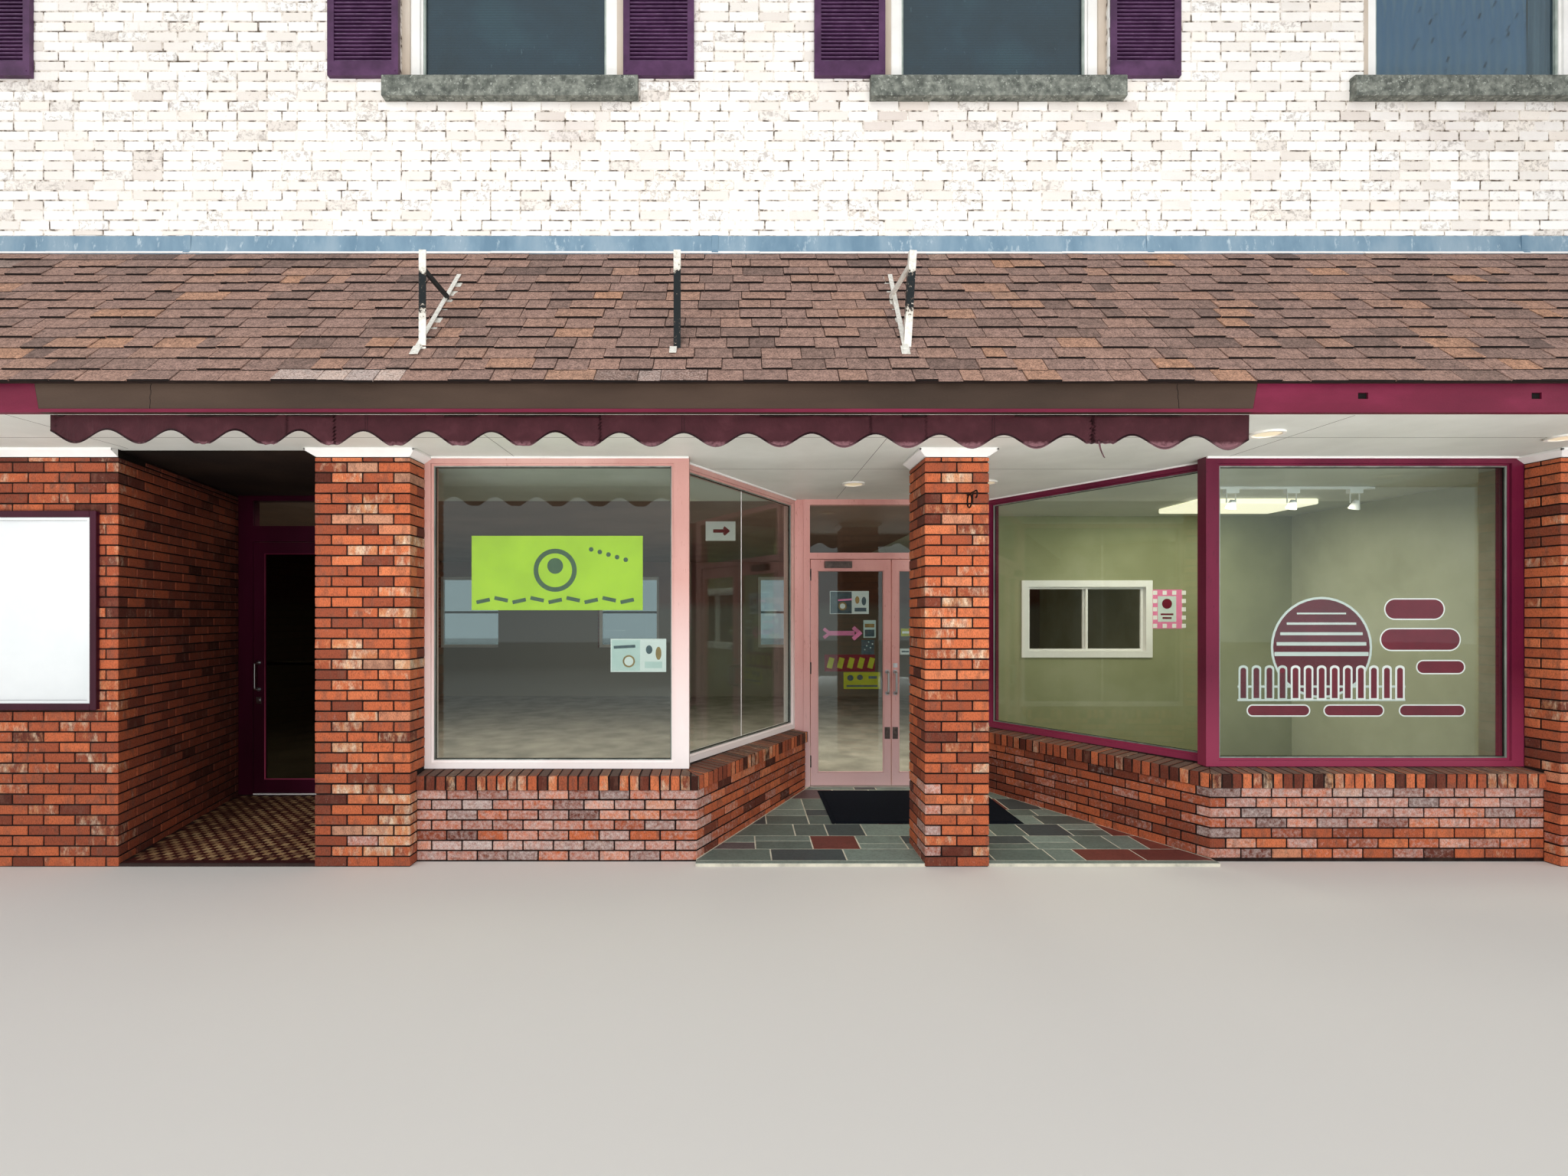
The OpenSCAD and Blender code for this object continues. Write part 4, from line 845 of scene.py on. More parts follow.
for k in range(shingles["courses"]):
    s0 = k * exposure - shingles["overhang"]
    x = -rightVerge
    thick = dice.random() < 0.5
    while x < halfWidth - 0.04:
        width = min(dice.uniform(*shingles["widths"]), rightVerge - x)
        if halfWidth - x - width < shingles["least"]:
            width = rightVerge - x
        drop = dice.choice([0, 0, 0.004, 0.009]) + dice.uniform(0, 0.002)
        height = shingles["thick"] if thick else shingles["thin"]
        (a, b), (c, d) = shingles["washed"]                    # pale wash at the eave, below two brackets
        washed = k == 0 and (a < x + width / 2 < b or c < x < d)
        wash = dice.uniform(0.25, 0.5) if washed else dice.uniform(0, 0.08)
        length = min(exposure + shingles["tuck"], rise - s0 + 0.006)
        tilt = moved(0, s0 - drop, 0) @ Matrix.Rotation(-height / length, 4, "X")
        addBlock(tabs, (x, 0, height * 0.1), (x + width - shingles["gap"], length, height), roofTurn @ tilt,
                 (dice.triangular(0, 1, 0.5), 0, wash, dice.random()), shingles["wobble"])
        x += width
        thick = (not thick) if dice.random() < 0.6 else thick
softenEdges(tabs, shingles["edge"])
addPiece("shingleTabs", tabs, "shingle")
print("shingles are laid")

# slates of the recess: rows of random lengths, some rows split, some slates red
paving = {"rows": (0.055, 0.273, 0.554, 0.83, 1.05, 1.22, 1.55, 1.85, 1.985), "grout": 0.010, "thick": 0.008,
          "widths": (0.15, 0.2, 0.24, 0.28, 0.33, 0.4, 0.5), "proud": 0.0018, "edge": 0.001, "front": 0.020,
          "back": 0.050, "depth": 1.971, "inset": 0.02,
          "shades": [0.2, 0.3, 0.35, 0.4, 0.42, 0.5, 0.52, 0.55, 0.6, 0.6, 0.7, 0.73, 0.1]}
paving["fall"] = (paving["back"] - paving["front"]) / paving["depth"]
slates = newMesh()
gap = paving["grout"] / 2
for front, rear in zip(paving["rows"], paving["rows"][1:]):
    x = plan["leftBend"]
    while x < plan["rightBend"]:
        stop = min(plan["rightBend"], x + dice.choice(paving["widths"]))
        split = front + (rear - front) * dice.choice([0.4, 0.5, 0.6])
        twoRows = rear - front > 0.25 and dice.random() < 0.3
        for y0, y1 in ((front, split), (split, rear)) if twoRows else ((front, rear),):
            tone = dice.choice(paving["shades"]) + dice.uniform(-0.02, 0.02)
            if stop - x < 0.45 and dice.random() < (0.2 if front < 0.5 else 0.1):
                tone = dice.uniform(0.84, 0.98)
            if stop - x > 3 * gap:
                addBlock(slates, (x + gap, y0 + gap, 0), (stop - gap, y1 - gap, paving["thick"]), None,
                         (tone, 0, 0, dice.random()))
        x = stop
nosing = (plan["rightBend"], 0.051, paving["thick"])
addBlock(slates, (plan["leftBend"], 0.004, 0), nosing, None, (0.55, 0, 0, 0.5))
layAslant(slates, paving["front"] - paving["thick"] + paving["proud"], paving["fall"])
for a, b, inset in ((leftBend, leftEnd, paving["inset"]), (rightEnd, rightBend, -paving["inset"])):
    way = (Vector(b) - Vector(a)).normalized()
    cutBy(slates, a[0] + inset, a[1], (-way.y, way.x))
softenEdges(slates, paving["edge"])
addPiece("slateSlabs", slates, "slate")

# small tiles of the side passage, in a checker with a dark border
small = {"size": 0.048, "grout": 0.002, "thick": 0.006, "proud": 0.0015, "border": 0.06, "start": -3.95,
         "columns": range(-10, 36), "rows": 34, "front": 0.020, "rise": 0.010, "inset": 0.03, "splay": 0.45}
tiles = newMesh()
for j in range(small["rows"]):
    y0 = small["border"] + 0.006 + j * small["size"]
    for i in small["columns"]:
        x0 = small["start"] + i * small["size"]
        midX, midY = x0 + small["size"] / 2, y0 + small["size"] / 2
        left = passageStart[0] - small["splay"] * midY / plan["passageY"]
        bend = max(0, midY - plan["deep"]) / (plan["passageY"] - plan["deep"])
        right = entryLeft - small["splay"] * bend
        if not left + small["inset"] < midX < right - small["inset"]:
            continue
        tone = (dice.uniform(0.45, 1.0) if (i + j) % 2 else dice.uniform(0.0, 0.35), 0, 0, dice.random())
        reach = (small["size"] - small["grout"]) / 2
        addBlock(tiles, (midX - reach, midY - reach, 0), (midX + reach, midY + reach, small["thick"]), None,
                 tone)
addBlock(tiles, (-3.47, 0.012, 0), (-2.19, small["border"] + 0.004, small["thick"]), None, (0.0, 0, 0, 0.3))
layAslant(tiles, small["front"] - small["thick"] + small["proud"], small["rise"] / plan["passageY"])
addPiece("entryTiles", tiles, "floorTile")
print("floors are laid")

# scalloped valance
valance = {"left": -3.161, "right": 3.339, "top": 2.7265, "crest": 2.648, "dip": 2.574, "fall": 0.038,
           "firstDip": 0.135, "pitch": 0.3472, "y": -0.782, "thick": 0.0012, "ripple": 0.006, "columns": 456,
           "tornFlat": range(2, 9), "tornHigh": 16, "tornOff": 0.010, "tape": 0.009, "onTop": 0.0012,
           "tapeThick": 0.0008, "seams": (-1.448, 0.269, 1.952), "seamHalf": 0.006, "worn": 0.022}


# where x lies on the wave: a dip lies in the middle of each whole step
def hemPlace(x):
    return (x - valance["left"] - valance["firstDip"]) / valance["pitch"] + 0.5


# the hem's height at x: an even wave that sags to the right, with worn and torn dips
def hemHeight(x):
    v = valance
    place = hemPlace(x)
    dip = math.floor(place)
    low = v["dip"] - v["fall"] * (x - v["left"]) / (v["right"] - v["left"])
    depth = v["tornOff"] if dip in v["tornFlat"] else 0.0
    z = low - depth + (v["crest"] - v["dip"] + depth) * (0.5 - 0.5 * math.cos(2 * math.pi * (place - 0.5)))
    if dip in v["tornFlat"]:
        z = max(z, low + 0.002 * math.sin(310 * x) + 0.002 * math.sin(770 * x))
    if dip == v["tornHigh"] and 0.3 < place - dip < 0.72:
        z = max(z, low + 0.030 + 0.003 * math.sin(280 * x))
    return z


# the binding reaches to here; it is gone where a dip has torn away
def tapeTop(x):
    place = hemPlace(x)
    torn = math.floor(place) in valance["tornFlat"] and abs(place % 1 - 0.5) < 0.085
    return hemHeight(x) + (0.001 if torn else valance["tape"])


def tapeFoot(x):
    return hemHeight(x) - 0.001


def sheetTop(x):
    return valance["top"]


# a strip of the hung sheet between two height functions of x; it stands off more towards the hem
def hungStrip(name, x0, x1, columns, rows, low, high, offset, finishName, thick):
    def dropAt(z):
        return (valance["top"] - z) / (valance["top"] - valance["dip"])

    def shape(u, v):
        x = x0 + (x1 - x0) * u
        z = low(x) + (high(x) - low(x)) * v
        waves = math.sin(4.1 * x + 0.6) + 0.7 * math.sin(9.7 * x + 2.0) + 0.4 * math.sin(23 * x + 1.1)
        ripple = valance["ripple"] * waves / 2.1 * (0.15 + 0.85 * dropAt(z))
        return (x, valance["y"] + ripple - offset, z)

    def shade(x, z):
        return (0.5, max(0.0, 1 - (z - valance["dip"]) / valance["worn"]), dropAt(z), x)

    bm = newMesh()
    addGrid(bm, columns, rows, thick, shape, shade)
    return addPiece(name, bm, finishName, smooth=True)


# a strip torn from the hem, twisted as it hangs
def tearShape(u, v):
    drop = 1 - v
    x = 2.522 + 0.035 * drop + (u - 0.5) * (0.012 - 0.005 * drop) - 0.012 * math.sin(3 * drop)
    return (x, valance["y"] - 0.002 - 0.006 * math.sin(4 * drop), 2.590 - 0.095 * drop)


whole = (valance["left"], valance["right"], valance["columns"])
onTop = (valance["onTop"], "valanceTape", valance["tapeThick"])
cloth = hungStrip("valanceSheet", *whole, 8, hemHeight, sheetTop, 0.0, "valanceCloth", valance["thick"])
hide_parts("valance")
trims = [hungStrip("valanceBinding", *whole, 1, tapeFoot, tapeTop, *onTop)]
for i, x in enumerate(valance["seams"]):
    for mark, start in (("a", x - valance["seamHalf"]), ("b", x + valance["seamHalf"])):
        trims.append(hungStrip(f"valanceSeam{i}{mark}", start - 0.0012, start + 0.0012, 1, 8, hemHeight,
                               sheetTop, *onTop))
tear = newMesh()
addGrid(tear, 2, 10, 0.001, tearShape)
trims.append(addPiece("valanceTear", tear, "valanceTape", smooth=True))
print("the valance hangs")

# fascia, drip edge, and near-black strips painted as the shade inside its open joints and at the backs of two
# fixing holes
repaint("fascia", "taupeBoard", lambda x, y, z, n: -3.19 < x < 3.33 and y > -0.8265)
eaves = newMesh()
addBlock(eaves, (-halfWidth, -0.829, 2.893), (0.130, -0.825, 2.898))
addBlock(eaves, (0.126, -0.832, 2.890), (halfWidth, -0.825, 2.895))
addPiece("dripEdge", eaves, "darkBronze")
fascia = {"joints": ((-2.585, 0.05), (2.93, -0.08)), "jointZ": 2.746, "step": 0.025, "half": 0.0012,
          "holes": (3.889, 4.819), "holeWidth": 0.054, "holeY": -0.8145, "holeZ": (2.7995, 2.8325)}
cracks = newMesh()
for x, shear in fascia["joints"]:
    crack = Matrix.Identity(4)
    crack[0][2] = shear
    for j in range(6):
        sway, z = 0.002 * math.sin(9 * j), fascia["step"] * j
        addBlock(cracks, (sway - fascia["half"], -0.8268, z), (sway + fascia["half"], -0.8255, z + 0.026),
                 moved(x, 0, fascia["jointZ"]) @ crack)
for x in fascia["holes"]:
    addBlock(cracks, (x + 0.0005, fascia["holeY"] - 0.002, fascia["holeZ"][0]),
             (x + fascia["holeWidth"] - 0.0005, fascia["holeY"], fascia["holeZ"][1]))
addPiece("fasciaCracks", cracks, "deadDark")

# hem, laps and nails of the roof flashing
flash = {"hem": 0.024, "hemY": -0.036, "laps": (0.39, 3.35, -3.2, -6.1, 5.9), "lap": 0.045, "nail": 0.005,
         "lengths": (0.85, 1.2), "nails": 30, "spacing": 0.46}
slopeTurn = moved(0, *roofTop) @ slopeSpin
hems = newMesh()
x = -rightVerge
while x < halfWidth - 0.01:
    stop = min(rightVerge, x + dice.uniform(*flash["lengths"]))
    dip = flash["hemY"] + dice.uniform(-0.003, 0.003)
    addBlock(hems, (x, dip, 0.0075), (stop - 0.001, dip + flash["hem"], 0.0125), slopeTurn, None, 0.0008)
    x = stop
softenEdges(hems, 0.0015)
addPiece("flashingHem", hems, "whiteEnamel")
laps = newMesh()
for x in flash["laps"]:
    addBlock(laps, (x, 0.190, 4.128), (x + flash["lap"], 0.2000, 4.226))
    addBlock(laps, (x, -0.030, 0.010), (x + flash["lap"], -0.012, 0.0135), slopeTurn)
for i in range(flash["nails"]):
    x = -halfWidth + 0.2 + i * flash["spacing"] + dice.uniform(-0.05, 0.05)
    nail = moved(x, 0.1985, 4.20 + dice.uniform(-0.01, 0.01)) @ turned(90, "X")
    addCone(laps, 8, flash["nail"], flash["nail"] * 0.6, 0.004, nail)
softenEdges(laps, 0.0008)
addPiece("flashingLaps", laps, "galvanised")


# sign brackets: flat flanges of the rails lie over the shingles, foot plates under the posts
def aboveRoof(y, z):
    return z - (roofFoot.y + (y - roofFoot.x) * (roofTop.y - roofFoot.y) / (roofTop.x - roofFoot.x))


behindPosts, tieHeight = -0.598, 0.035
repaint("sign_brackets", "blackPostPaint", lambda x, y, z, n: 0 < x < 0.6)
repaint("sign_brackets", "railPaint",
        lambda x, y, z, n: y > behindPosts and (x > 1.3 or aboveRoof(y, z) < tieHeight))
repaint("sign_brackets", "tiePaint",
        lambda x, y, z, n: y > behindPosts and x < -1 and aboveRoof(y, z) >= tieHeight)
bracket = {"foot": 0.285, "rails": ((-1.228, 0.0), (1.500, -0.05)), "middle": 0.205}
railLength = (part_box("sign_brackets")[1].y - pierY - roofFoot.x) / slope.x - bracket["foot"]
rails = newMesh()
for x, skew in bracket["rails"]:
    turn = roofTurn @ moved(x, bracket["foot"], 0) @ Matrix.Rotation(skew, 4, "Z")
    addBlock(rails, (-0.014, 0.0, 0.0175), (0.014, railLength, 0.0215), turn)
    addBlock(rails, (-0.024, -0.05, 0.0155), (0.024, 0.035, 0.0195), turn)
turn = roofTurn @ moved(bracket["middle"], bracket["foot"], 0)
addBlock(rails, (-0.02, -0.035, 0.0155), (0.02, 0.03, 0.0195), turn)
softenEdges(rails, 0.001)
addPiece("bracketFlanges", rails, "railPaint")

# coves, joints, lamps and crown fillets of the soffit
coves = (((entryRight, 0.214), (0.234, 0.214)), ((3.769, 0.214), (plan["rightPier"], 0.214)),
         ((0.174, 0.315), (1.1025, 1.96)), ((2.9025, 1.96), (3.869, 0.315)))
strips = newMesh()
for a, b in coves:
    length = (Vector(b) - Vector(a)).length
    addBlock(strips, (0, -0.016, soffitZ - 0.013), (length, 0.002, soffitZ - 0.0005), alongLine(a, b))
softenEdges(strips, 0.003)
addPiece("coveStrips", strips, "whiteEnamel")
soffitLines = ((-6.9, -0.30, 6.9, -0.30), (-3.4, -0.788, -3.4, -0.02), (-0.96, -0.77, -0.96, 0.25),
               (1.48, -0.77, 1.48, 1.9), (3.92, -0.77, 3.92, 0.25), (0.3, 0.62, 3.7, 0.62))
joints = newMesh()
for x0, y0, x1, y1 in soffitLines:
    addBlock(joints, (x0, y0, soffitZ - 0.0006), (max(x1, x0 + 0.003), max(y1, y0 + 0.003), soffitZ + 0.0004))
addPiece("soffitJoints", joints, "taupeBoard")
lenses = newMesh()
for x, y in ((1.519, 1.180), (2.579, 1.117), (3.719, -0.404), (5.599, -0.320)):
    addCone(lenses, 32, 0.062, 0.074, 0.004, moved(x, y, soffitZ - 0.0065))
softenEdges(lenses, 0.001)
addPiece("lampLenses", lenses, "lampLens")

# each crown: x from, x to, depth, and whether it returns on the left and on the right
crowns = ((-halfWidth, passageStart[0], 0.0, 0, 0), (entryLeft, entryRight, 0.21, 1, 1),
          (pillarLeft, pillarRight, plan["deep"], 1, 1), (plan["rightPier"], halfWidth, 0.21, 1, 0))
filletDepth = 0.012
fillets = newMesh()
for x0, x1, back, left, right in crowns:
    for z, out, tall in ((pierTop + 0.002, 0.007, 0.007), (pierTop + 0.019, 0.027, 0.005),
                         (soffitZ - 0.018, 0.053, 0.014)):
        addBlock(fillets, (x0 - out * left, -out, z), (x1 + out * right, filletDepth - out, z + tall))
        for side, x in ((left, x0 - out), (right, x1 + out - filletDepth)):
            if side:
                addBlock(fillets, (x, -out, z), (x + filletDepth, back, z + tall))
softenEdges(fillets, 0.0015)
addPiece("crownFillets", fillets, "whiteEnamel")
print("eave, flashing and soffit trims are on")

# screens, film, curtain, caulk and beads of the upper windows
sash = {"half": 0.632, "foot": 5.322, "head": 7.034, "film": 1.09, "curtainStart": 0.470, "curtain": 0.162}
sashTall = sash["head"] - sash["foot"]
rightSash = upper["mids"][3] - sash["half"]
curtainX = upper["mids"][3] + sash["curtainStart"]


def filmShape(u, v):
    x, z = rightSash + sash["film"] * u, sash["foot"] + sashTall * v
    ripple = 0.0035 * math.sin(19 * x + 5 * z) + 0.002 * math.sin(41 * x - 9 * z)
    return (x, upper["faceY"] + 0.100 + ripple, z)


def curtainShape(u, v):
    x, z = curtainX + sash["curtain"] * u, sash["foot"] + sashTall * v
    return (x, upper["faceY"] + 0.108 + 0.007 * math.sin(150 * x) + 0.002 * math.sin(6 * z), z)


screens = newMesh()
for mid in upper["mids"][:3]:
    addBlock(screens, (mid - sash["half"], upper["faceY"] + 0.094, sash["foot"]),
             (mid + sash["half"], upper["faceY"] + 0.100, sash["head"]))
addPiece("windowScreens", screens, "insectScreen")
film = newMesh()
addGrid(film, 60, 40, 0.001, filmShape)
addPiece("blueWindowFilm", film, "windowFilm", smooth=True)
folds = newMesh()
addGrid(folds, 28, 12, 0.001, curtainShape)
curtain = addPiece("curtainEdge", folds, "paleCurtain", smooth=True)
caulk = newMesh()
for j in range(26):
    x, z = upper["mids"][2] + 0.757, 5.30 + j * 0.066
    addBlock(caulk, (x + 0.004 * math.sin(1.9 * j), 0.178, z),
             (x + 0.013 + 0.004 * math.sin(1.9 * j + 1), 0.206, z + 0.068), None, None, 0.003)
softenEdges(caulk, 0.003, 2)
addPiece("caulkBead", caulk, "whiteVinyl")
beads = newMesh()
for mid in upper["mids"]:
    x0, x1, z0, z1 = mid - sash["half"], mid + sash["half"], sash["foot"], sash["head"]
    y0, y1 = upper["faceY"] + 0.062, upper["faceY"] + 0.082
    addBlock(beads, (x0 - 0.001, y0, z0), (x0 + 0.014, y1, z1))
    addBlock(beads, (x1 - 0.014, y0, z0), (x1 + 0.001, y1, z1))
    addBlock(beads, (x0, y0, z0 - 0.001), (x1, y1, z0 + 0.016))
    addBlock(beads, (x0, y0, z1 - 0.014), (x1, y1, z1 + 0.001))
softenEdges(beads, 0.002)
addPiece("glazingBeads", beads, "greyBead")

# screws and bright louvre lips of the shutters
louvre = {"pitch": 0.0264, "rail": 0.096, "stile": 0.045, "width": 0.480, "foot": upper["sillZ"] + 0.153,
          "y": 0.1732, "lip": 0.0026, "screwIn": 0.022, "screwZ": (5.330, 6.21, 7.10)}
shutterTall = upper["headZ"] - upper["sillZ"] - 0.150
shutterStarts = []
for mid in upper["mids"][:3]:
    shutterStarts += [mid - upper["width"] / 2 - louvre["width"], mid + upper["width"] / 2]
screws = newMesh()
lips = newMesh()
for start in shutterStarts:
    for x in (start + louvre["screwIn"], start + louvre["width"] - louvre["screwIn"]):
        for z in louvre["screwZ"]:
            addCone(screws, 10, 0.006, 0.0045, 0.004, moved(x, 0.1672, z) @ turned(90, "X"))
    x0, x1 = start + louvre["stile"] + 0.001, start + louvre["width"] - louvre["stile"] - 0.001
    for low, top in ((louvre["rail"], shutterTall / 2 - 0.040),
                     (shutterTall / 2 + 0.040, shutterTall - louvre["rail"])):
        for j in range(int((top - low) / louvre["pitch"])):
            z = louvre["foot"] + low + j * louvre["pitch"] + 0.006
            addBlock(lips, (x0, louvre["y"] - 0.0012, z), (x1, louvre["y"] + 0.002, z + louvre["lip"]))
addPiece("shutterScrews", screws, "plumVinyl")
addPiece("louvreLips", lips, "lipVinyl")
print("upper windows are dressed")

# channels and gaskets hold the shop panes in their frames
panes = {"leftFoot": 0.6495, "rightFoot": 0.6645, "head": 2.6665, "channel": 0.020, "lap": 0.012,
         "gasket": 0.010, "slack": 0.0005}
frontTurn = moved(0, 0.215, 0)
leftSlant = alongLine((0.174, 0.315), (1.1025, 1.971))
rightSlant = alongLine((2.9025, 1.971), (3.869, 0.315))
channels = newMesh()
gaskets = newMesh()
lap, slack = panes["lap"], panes["slack"]
for turn, x0, x1, foot in ((frontTurn, -1.5164, 0.114, "leftFoot"), (leftSlant, 0.05, 1.8485, "leftFoot"),
                           (rightSlant, 0.05, 1.8674, "rightFoot"), (frontTurn, 3.870, 5.8436, "rightFoot")):
    z0, z1 = panes[foot], panes["head"]
    addRing(channels, turn, x0 - lap, x1 + lap, z0 - lap, z1 + lap, panes["channel"], 0.0171, 0.030)
    addRing(gaskets, turn, x0 + slack, x1 - slack, z0 + slack, z1 - slack, panes["gasket"], 0.0301, 0.0395)
softenEdges(channels, 0.003, 2)
softenEdges(gaskets, 0.002)
addPiece("glazingChannels", channels, "greyChannel")
addPiece("glazingGaskets", gaskets, "deadDark")
paneJoint = newMesh()
addBlock(paneJoint, (0.930, 0.0375, panes["leftFoot"]), (0.940, 0.0399, panes["head"]), leftSlant)
softenEdges(paneJoint, 0.0008)
addPiece("paneJoint", paneJoint, "whiteEnamel")
for side, x0, x1, z0, z1, y, paint in (("left", 1.3145, 1.9335, 0.18, 2.066, 1.971, "pink"),
                                       ("right", 2.0715, 2.6905, 0.18, 2.066, 1.971, "pink"),
                                       ("side", -3.699, -2.969, 0.165, 2.204, 1.745, "maroon")):
    stops = newMesh()
    addRing(stops, moved(0, y, 0), x0 + slack, x1 - slack, z0 + slack, z1 - slack, 0.008, 0.003, 0.0178)
    softenEdges(stops, 0.003, 2)
    addPiece(side + "GlazingStops", stops, paint + "Enamel", body=side + "_door")
print("glazing channels are in")

# hinge plates are painted over with their doors; knuckles, lock plates and the closer are dark
for nodeName, hinge in (("left_door_hardware", 1.2505), ("right_door_hardware", 2.7545)):
    repaint(nodeName, "pinkEnamel", lambda x, y, z, n: abs(x - hinge) < 0.034)
    repaint(nodeName, "darkHardware",
            lambda x, y, z, n: (abs(x - hinge) < 0.007 and y < 1.967) or z > 2.06 or 0.49 < z < 0.61)
repaint("side_door_hardware", "grimyMaroon", lambda x, y, z, n: abs(x + 2.877) < 0.034)
repaint("side_door_hardware", "whiteEnamel", lambda x, y, z, n: 1.18 < z < 1.24 and x > -3.45)
repaint("door_sills", "whiteEnamel", lambda x, y, z, n: x < -2.5)
repaint("door_sills", "paleStone", lambda x, y, z, n: x > 0)
print("door hardware is painted")

# outer ends of the front, edges of the notice board, and the side passage's ceiling, painted near black as the
# passage's shade
for nodeName in ("left_front_wall", "right_pier"):
    repaint(nodeName, "sideBrick", lambda x, y, z, n: abs(x) > 6.94)
repaint("directory_board", "grimyMaroon", lambda x, y, z, n: abs(n.y) < 0.5)
# painted shade: the crown's return inside the passage and a sheet under the passage soffit are near black
repaint("pier_trims", "passageBoard", lambda x, y, z, n: x < -3.3 and y > 0.05)
passage = newMesh()
addPrism(passage, [(-3.50, 0.035), (-2.19, 0.035), (-2.19, 0.41), (-2.64, 1.74), (-3.925, 1.74)],
         soffitZ - 0.005, soffitZ - 0.0005, (0.5, 0, 0, 0.5))
addPiece("passageCeiling", passage, "passageBoard")

# felt turned up inside the parapets
felt = newMesh()
x0, x1 = deckLow.x + 0.001, deckHigh.x - 0.001
y0, y1 = deckLow.y - pierY + 0.001, deckHigh.y - pierY - 0.001
feltThick, feltTop = 0.008, upper["top"] - 0.01
addBlock(felt, (x0, y0, deckHigh.z), (x1, y0 + feltThick, feltTop))
addBlock(felt, (x0, y1 - feltThick, deckHigh.z), (x1, y1, feltTop))
addBlock(felt, (x0, y0 + 0.009, deckHigh.z), (x0 + feltThick, y1 - 0.009, feltTop))
addBlock(felt, (x1 - feltThick, y0 + 0.009, deckHigh.z), (x1, y1 - 0.009, feltTop))
softenEdges(felt, 0.002)
addPiece("parapetFelt", felt, "roofFelt")

# mat before the doors
mat = newMesh()
addBlock(mat, (1.295, 0.83, 0), (2.775, 1.80, 0.004))
addBlock(mat, (1.33, 0.865, 0.003), (2.74, 1.765, 0.0085))
layAslant(mat, 0.0232, paving["fall"])
softenEdges(mat, 0.003, 2)
addPiece("doorMat", mat, "doorMat")

# frame and printed rows of the notice board
board = newMesh()
addRing(board, Matrix.Identity(4), -4.700, -3.592, 1.026, 2.320, 0.044, -0.036, -0.0292)
softenEdges(board, 0.004, 2)
addPiece("boardFrame", board, "grimyMaroon")
printed = {"left": -4.60, "right": -3.74, "top": 2.15, "step": 0.078, "rows": 13, "y0": -0.0158,
           "y1": -0.0148}
boardRows = newMesh()
for j in range(printed["rows"]):
    z = printed["top"] - j * printed["step"]
    for x, width in ((printed["left"], dice.uniform(0.22, 0.5)), (printed["right"], 0.04)):
        addBlock(boardRows, (x, printed["y0"], z), (x + width, printed["y1"], z + 0.016))
addBlock(boardRows, (-4.55, printed["y0"], 2.205), (-3.79, printed["y1"], 2.235))
addPiece("boardRows", boardRows, "greyInk")
print("mat and board are set")


# plain printed sheets, bare of any wording. A mark is a disc or a bar: its finish number, x, z, width,
# height and turn
def disc(colour, x, z, width, height=None):
    return (True, colour, x, z, width, height or width, 0)


def bar(colour, x, z, width, height, lean=0):
    return (False, colour, x, z, width, height, lean)


def addSheetSign(name, x0, x1, z0, z1, y, colours, marks, body="building", thick=0.0008):
    bm = newMesh()
    addBlock(bm, (x0, y, z0), (x1, y + thick, z1))
    for layer, (isDisc, colour, x, z, width, height, lean) in enumerate(marks):
        place = moved(x, y - 0.0004 - 0.00005 * layer, z) @ turned(lean, "Y")
        place = place @ Matrix.Diagonal((width, 1, height, 1))
        if isDisc:
            made = addCone(bm, 40, 0.5, 0.5, 0.0005, place @ turned(90, "X"))
        else:
            place = place @ Matrix.Diagonal((1, 0.0005, 1, 1))
            made = bmesh.ops.create_cube(bm, size=1, matrix=place)["verts"]
        for face in {face for vert in made for face in vert.link_faces}:
            face.material_index = colour
    return addPiece(name, bm, colours, body)


banner = [disc(1, -0.70, 1.955, 0.30), disc(0, -0.70, 1.955, 0.235), disc(1, -0.70, 1.985, 0.11)]
for i in range(9):
    banner.append(bar(1, -1.20 + 0.125 * i, 1.742 + 0.012 * (i % 2), 0.095, 0.026, 12 if i % 2 else -12))
banner += [disc(1, -0.45 + 0.06 * i, 2.10 - 0.018 * i, 0.032) for i in range(5)]
addSheetSign("limeBanner", -1.280, -0.092, 1.678, 2.194, 0.290, "limeSheet darkGreenInk", banner)
addSheetSign("windowPoster", -0.311, 0.073, 1.251, 1.480, 0.2665, "whiteInk paleSheet slateInk tanInk",
             [bar(1, -0.205, 1.366, 0.195, 0.212), disc(3, -0.185, 1.325, 0.085),
              disc(0, -0.185, 1.325, 0.062), bar(2, -0.215, 1.425, 0.150, 0.020, -3),
              disc(2, -0.045, 1.405, 0.045, 0.060), disc(3, 0.020, 1.380, 0.040, 0.090),
              bar(1, -0.015, 1.300, 0.120, 0.045)])

# decal: a rising sun behind a fence, with plain lozenges in rows beside it
decal = [disc(1, 4.60, 1.42, 0.70), disc(2, 4.60, 1.42, 0.668)]
for i, width in enumerate((0.34, 0.48, 0.57, 0.62, 0.65)):
    decal.append(bar(1, 4.60, 1.655 - 0.07 * i, width, 0.012 + 0.004 * i))
decal.append(bar(1, 4.60, 1.150, 1.16, 0.016))
for i in range(13):
    x = 4.06 + 0.09 * i
    decal += [bar(1, x, 1.165, 0.066, 0.215), disc(1, x, 1.272, 0.066, 0.050),
              bar(2, x, 1.165, 0.040, 0.190), disc(2, x, 1.262, 0.040, 0.036)]
for x, z, long, tall in ((5.24, 1.685, 0.42, 0.15), (5.28, 1.475, 0.56, 0.16), (5.42, 1.285, 0.34, 0.10),
                         (4.30, 0.985, 0.44, 0.085), (4.82, 0.985, 0.42, 0.085), (5.36, 0.985, 0.46, 0.085)):
    for colour, rim in ((1, 0.0), (2, 0.018)):
        half = (long - tall) / 2
        decal += [disc(colour, x - half, z, tall - rim), disc(colour, x + half, z, tall - rim),
                  bar(colour, x, z, 2 * half, tall - rim)]
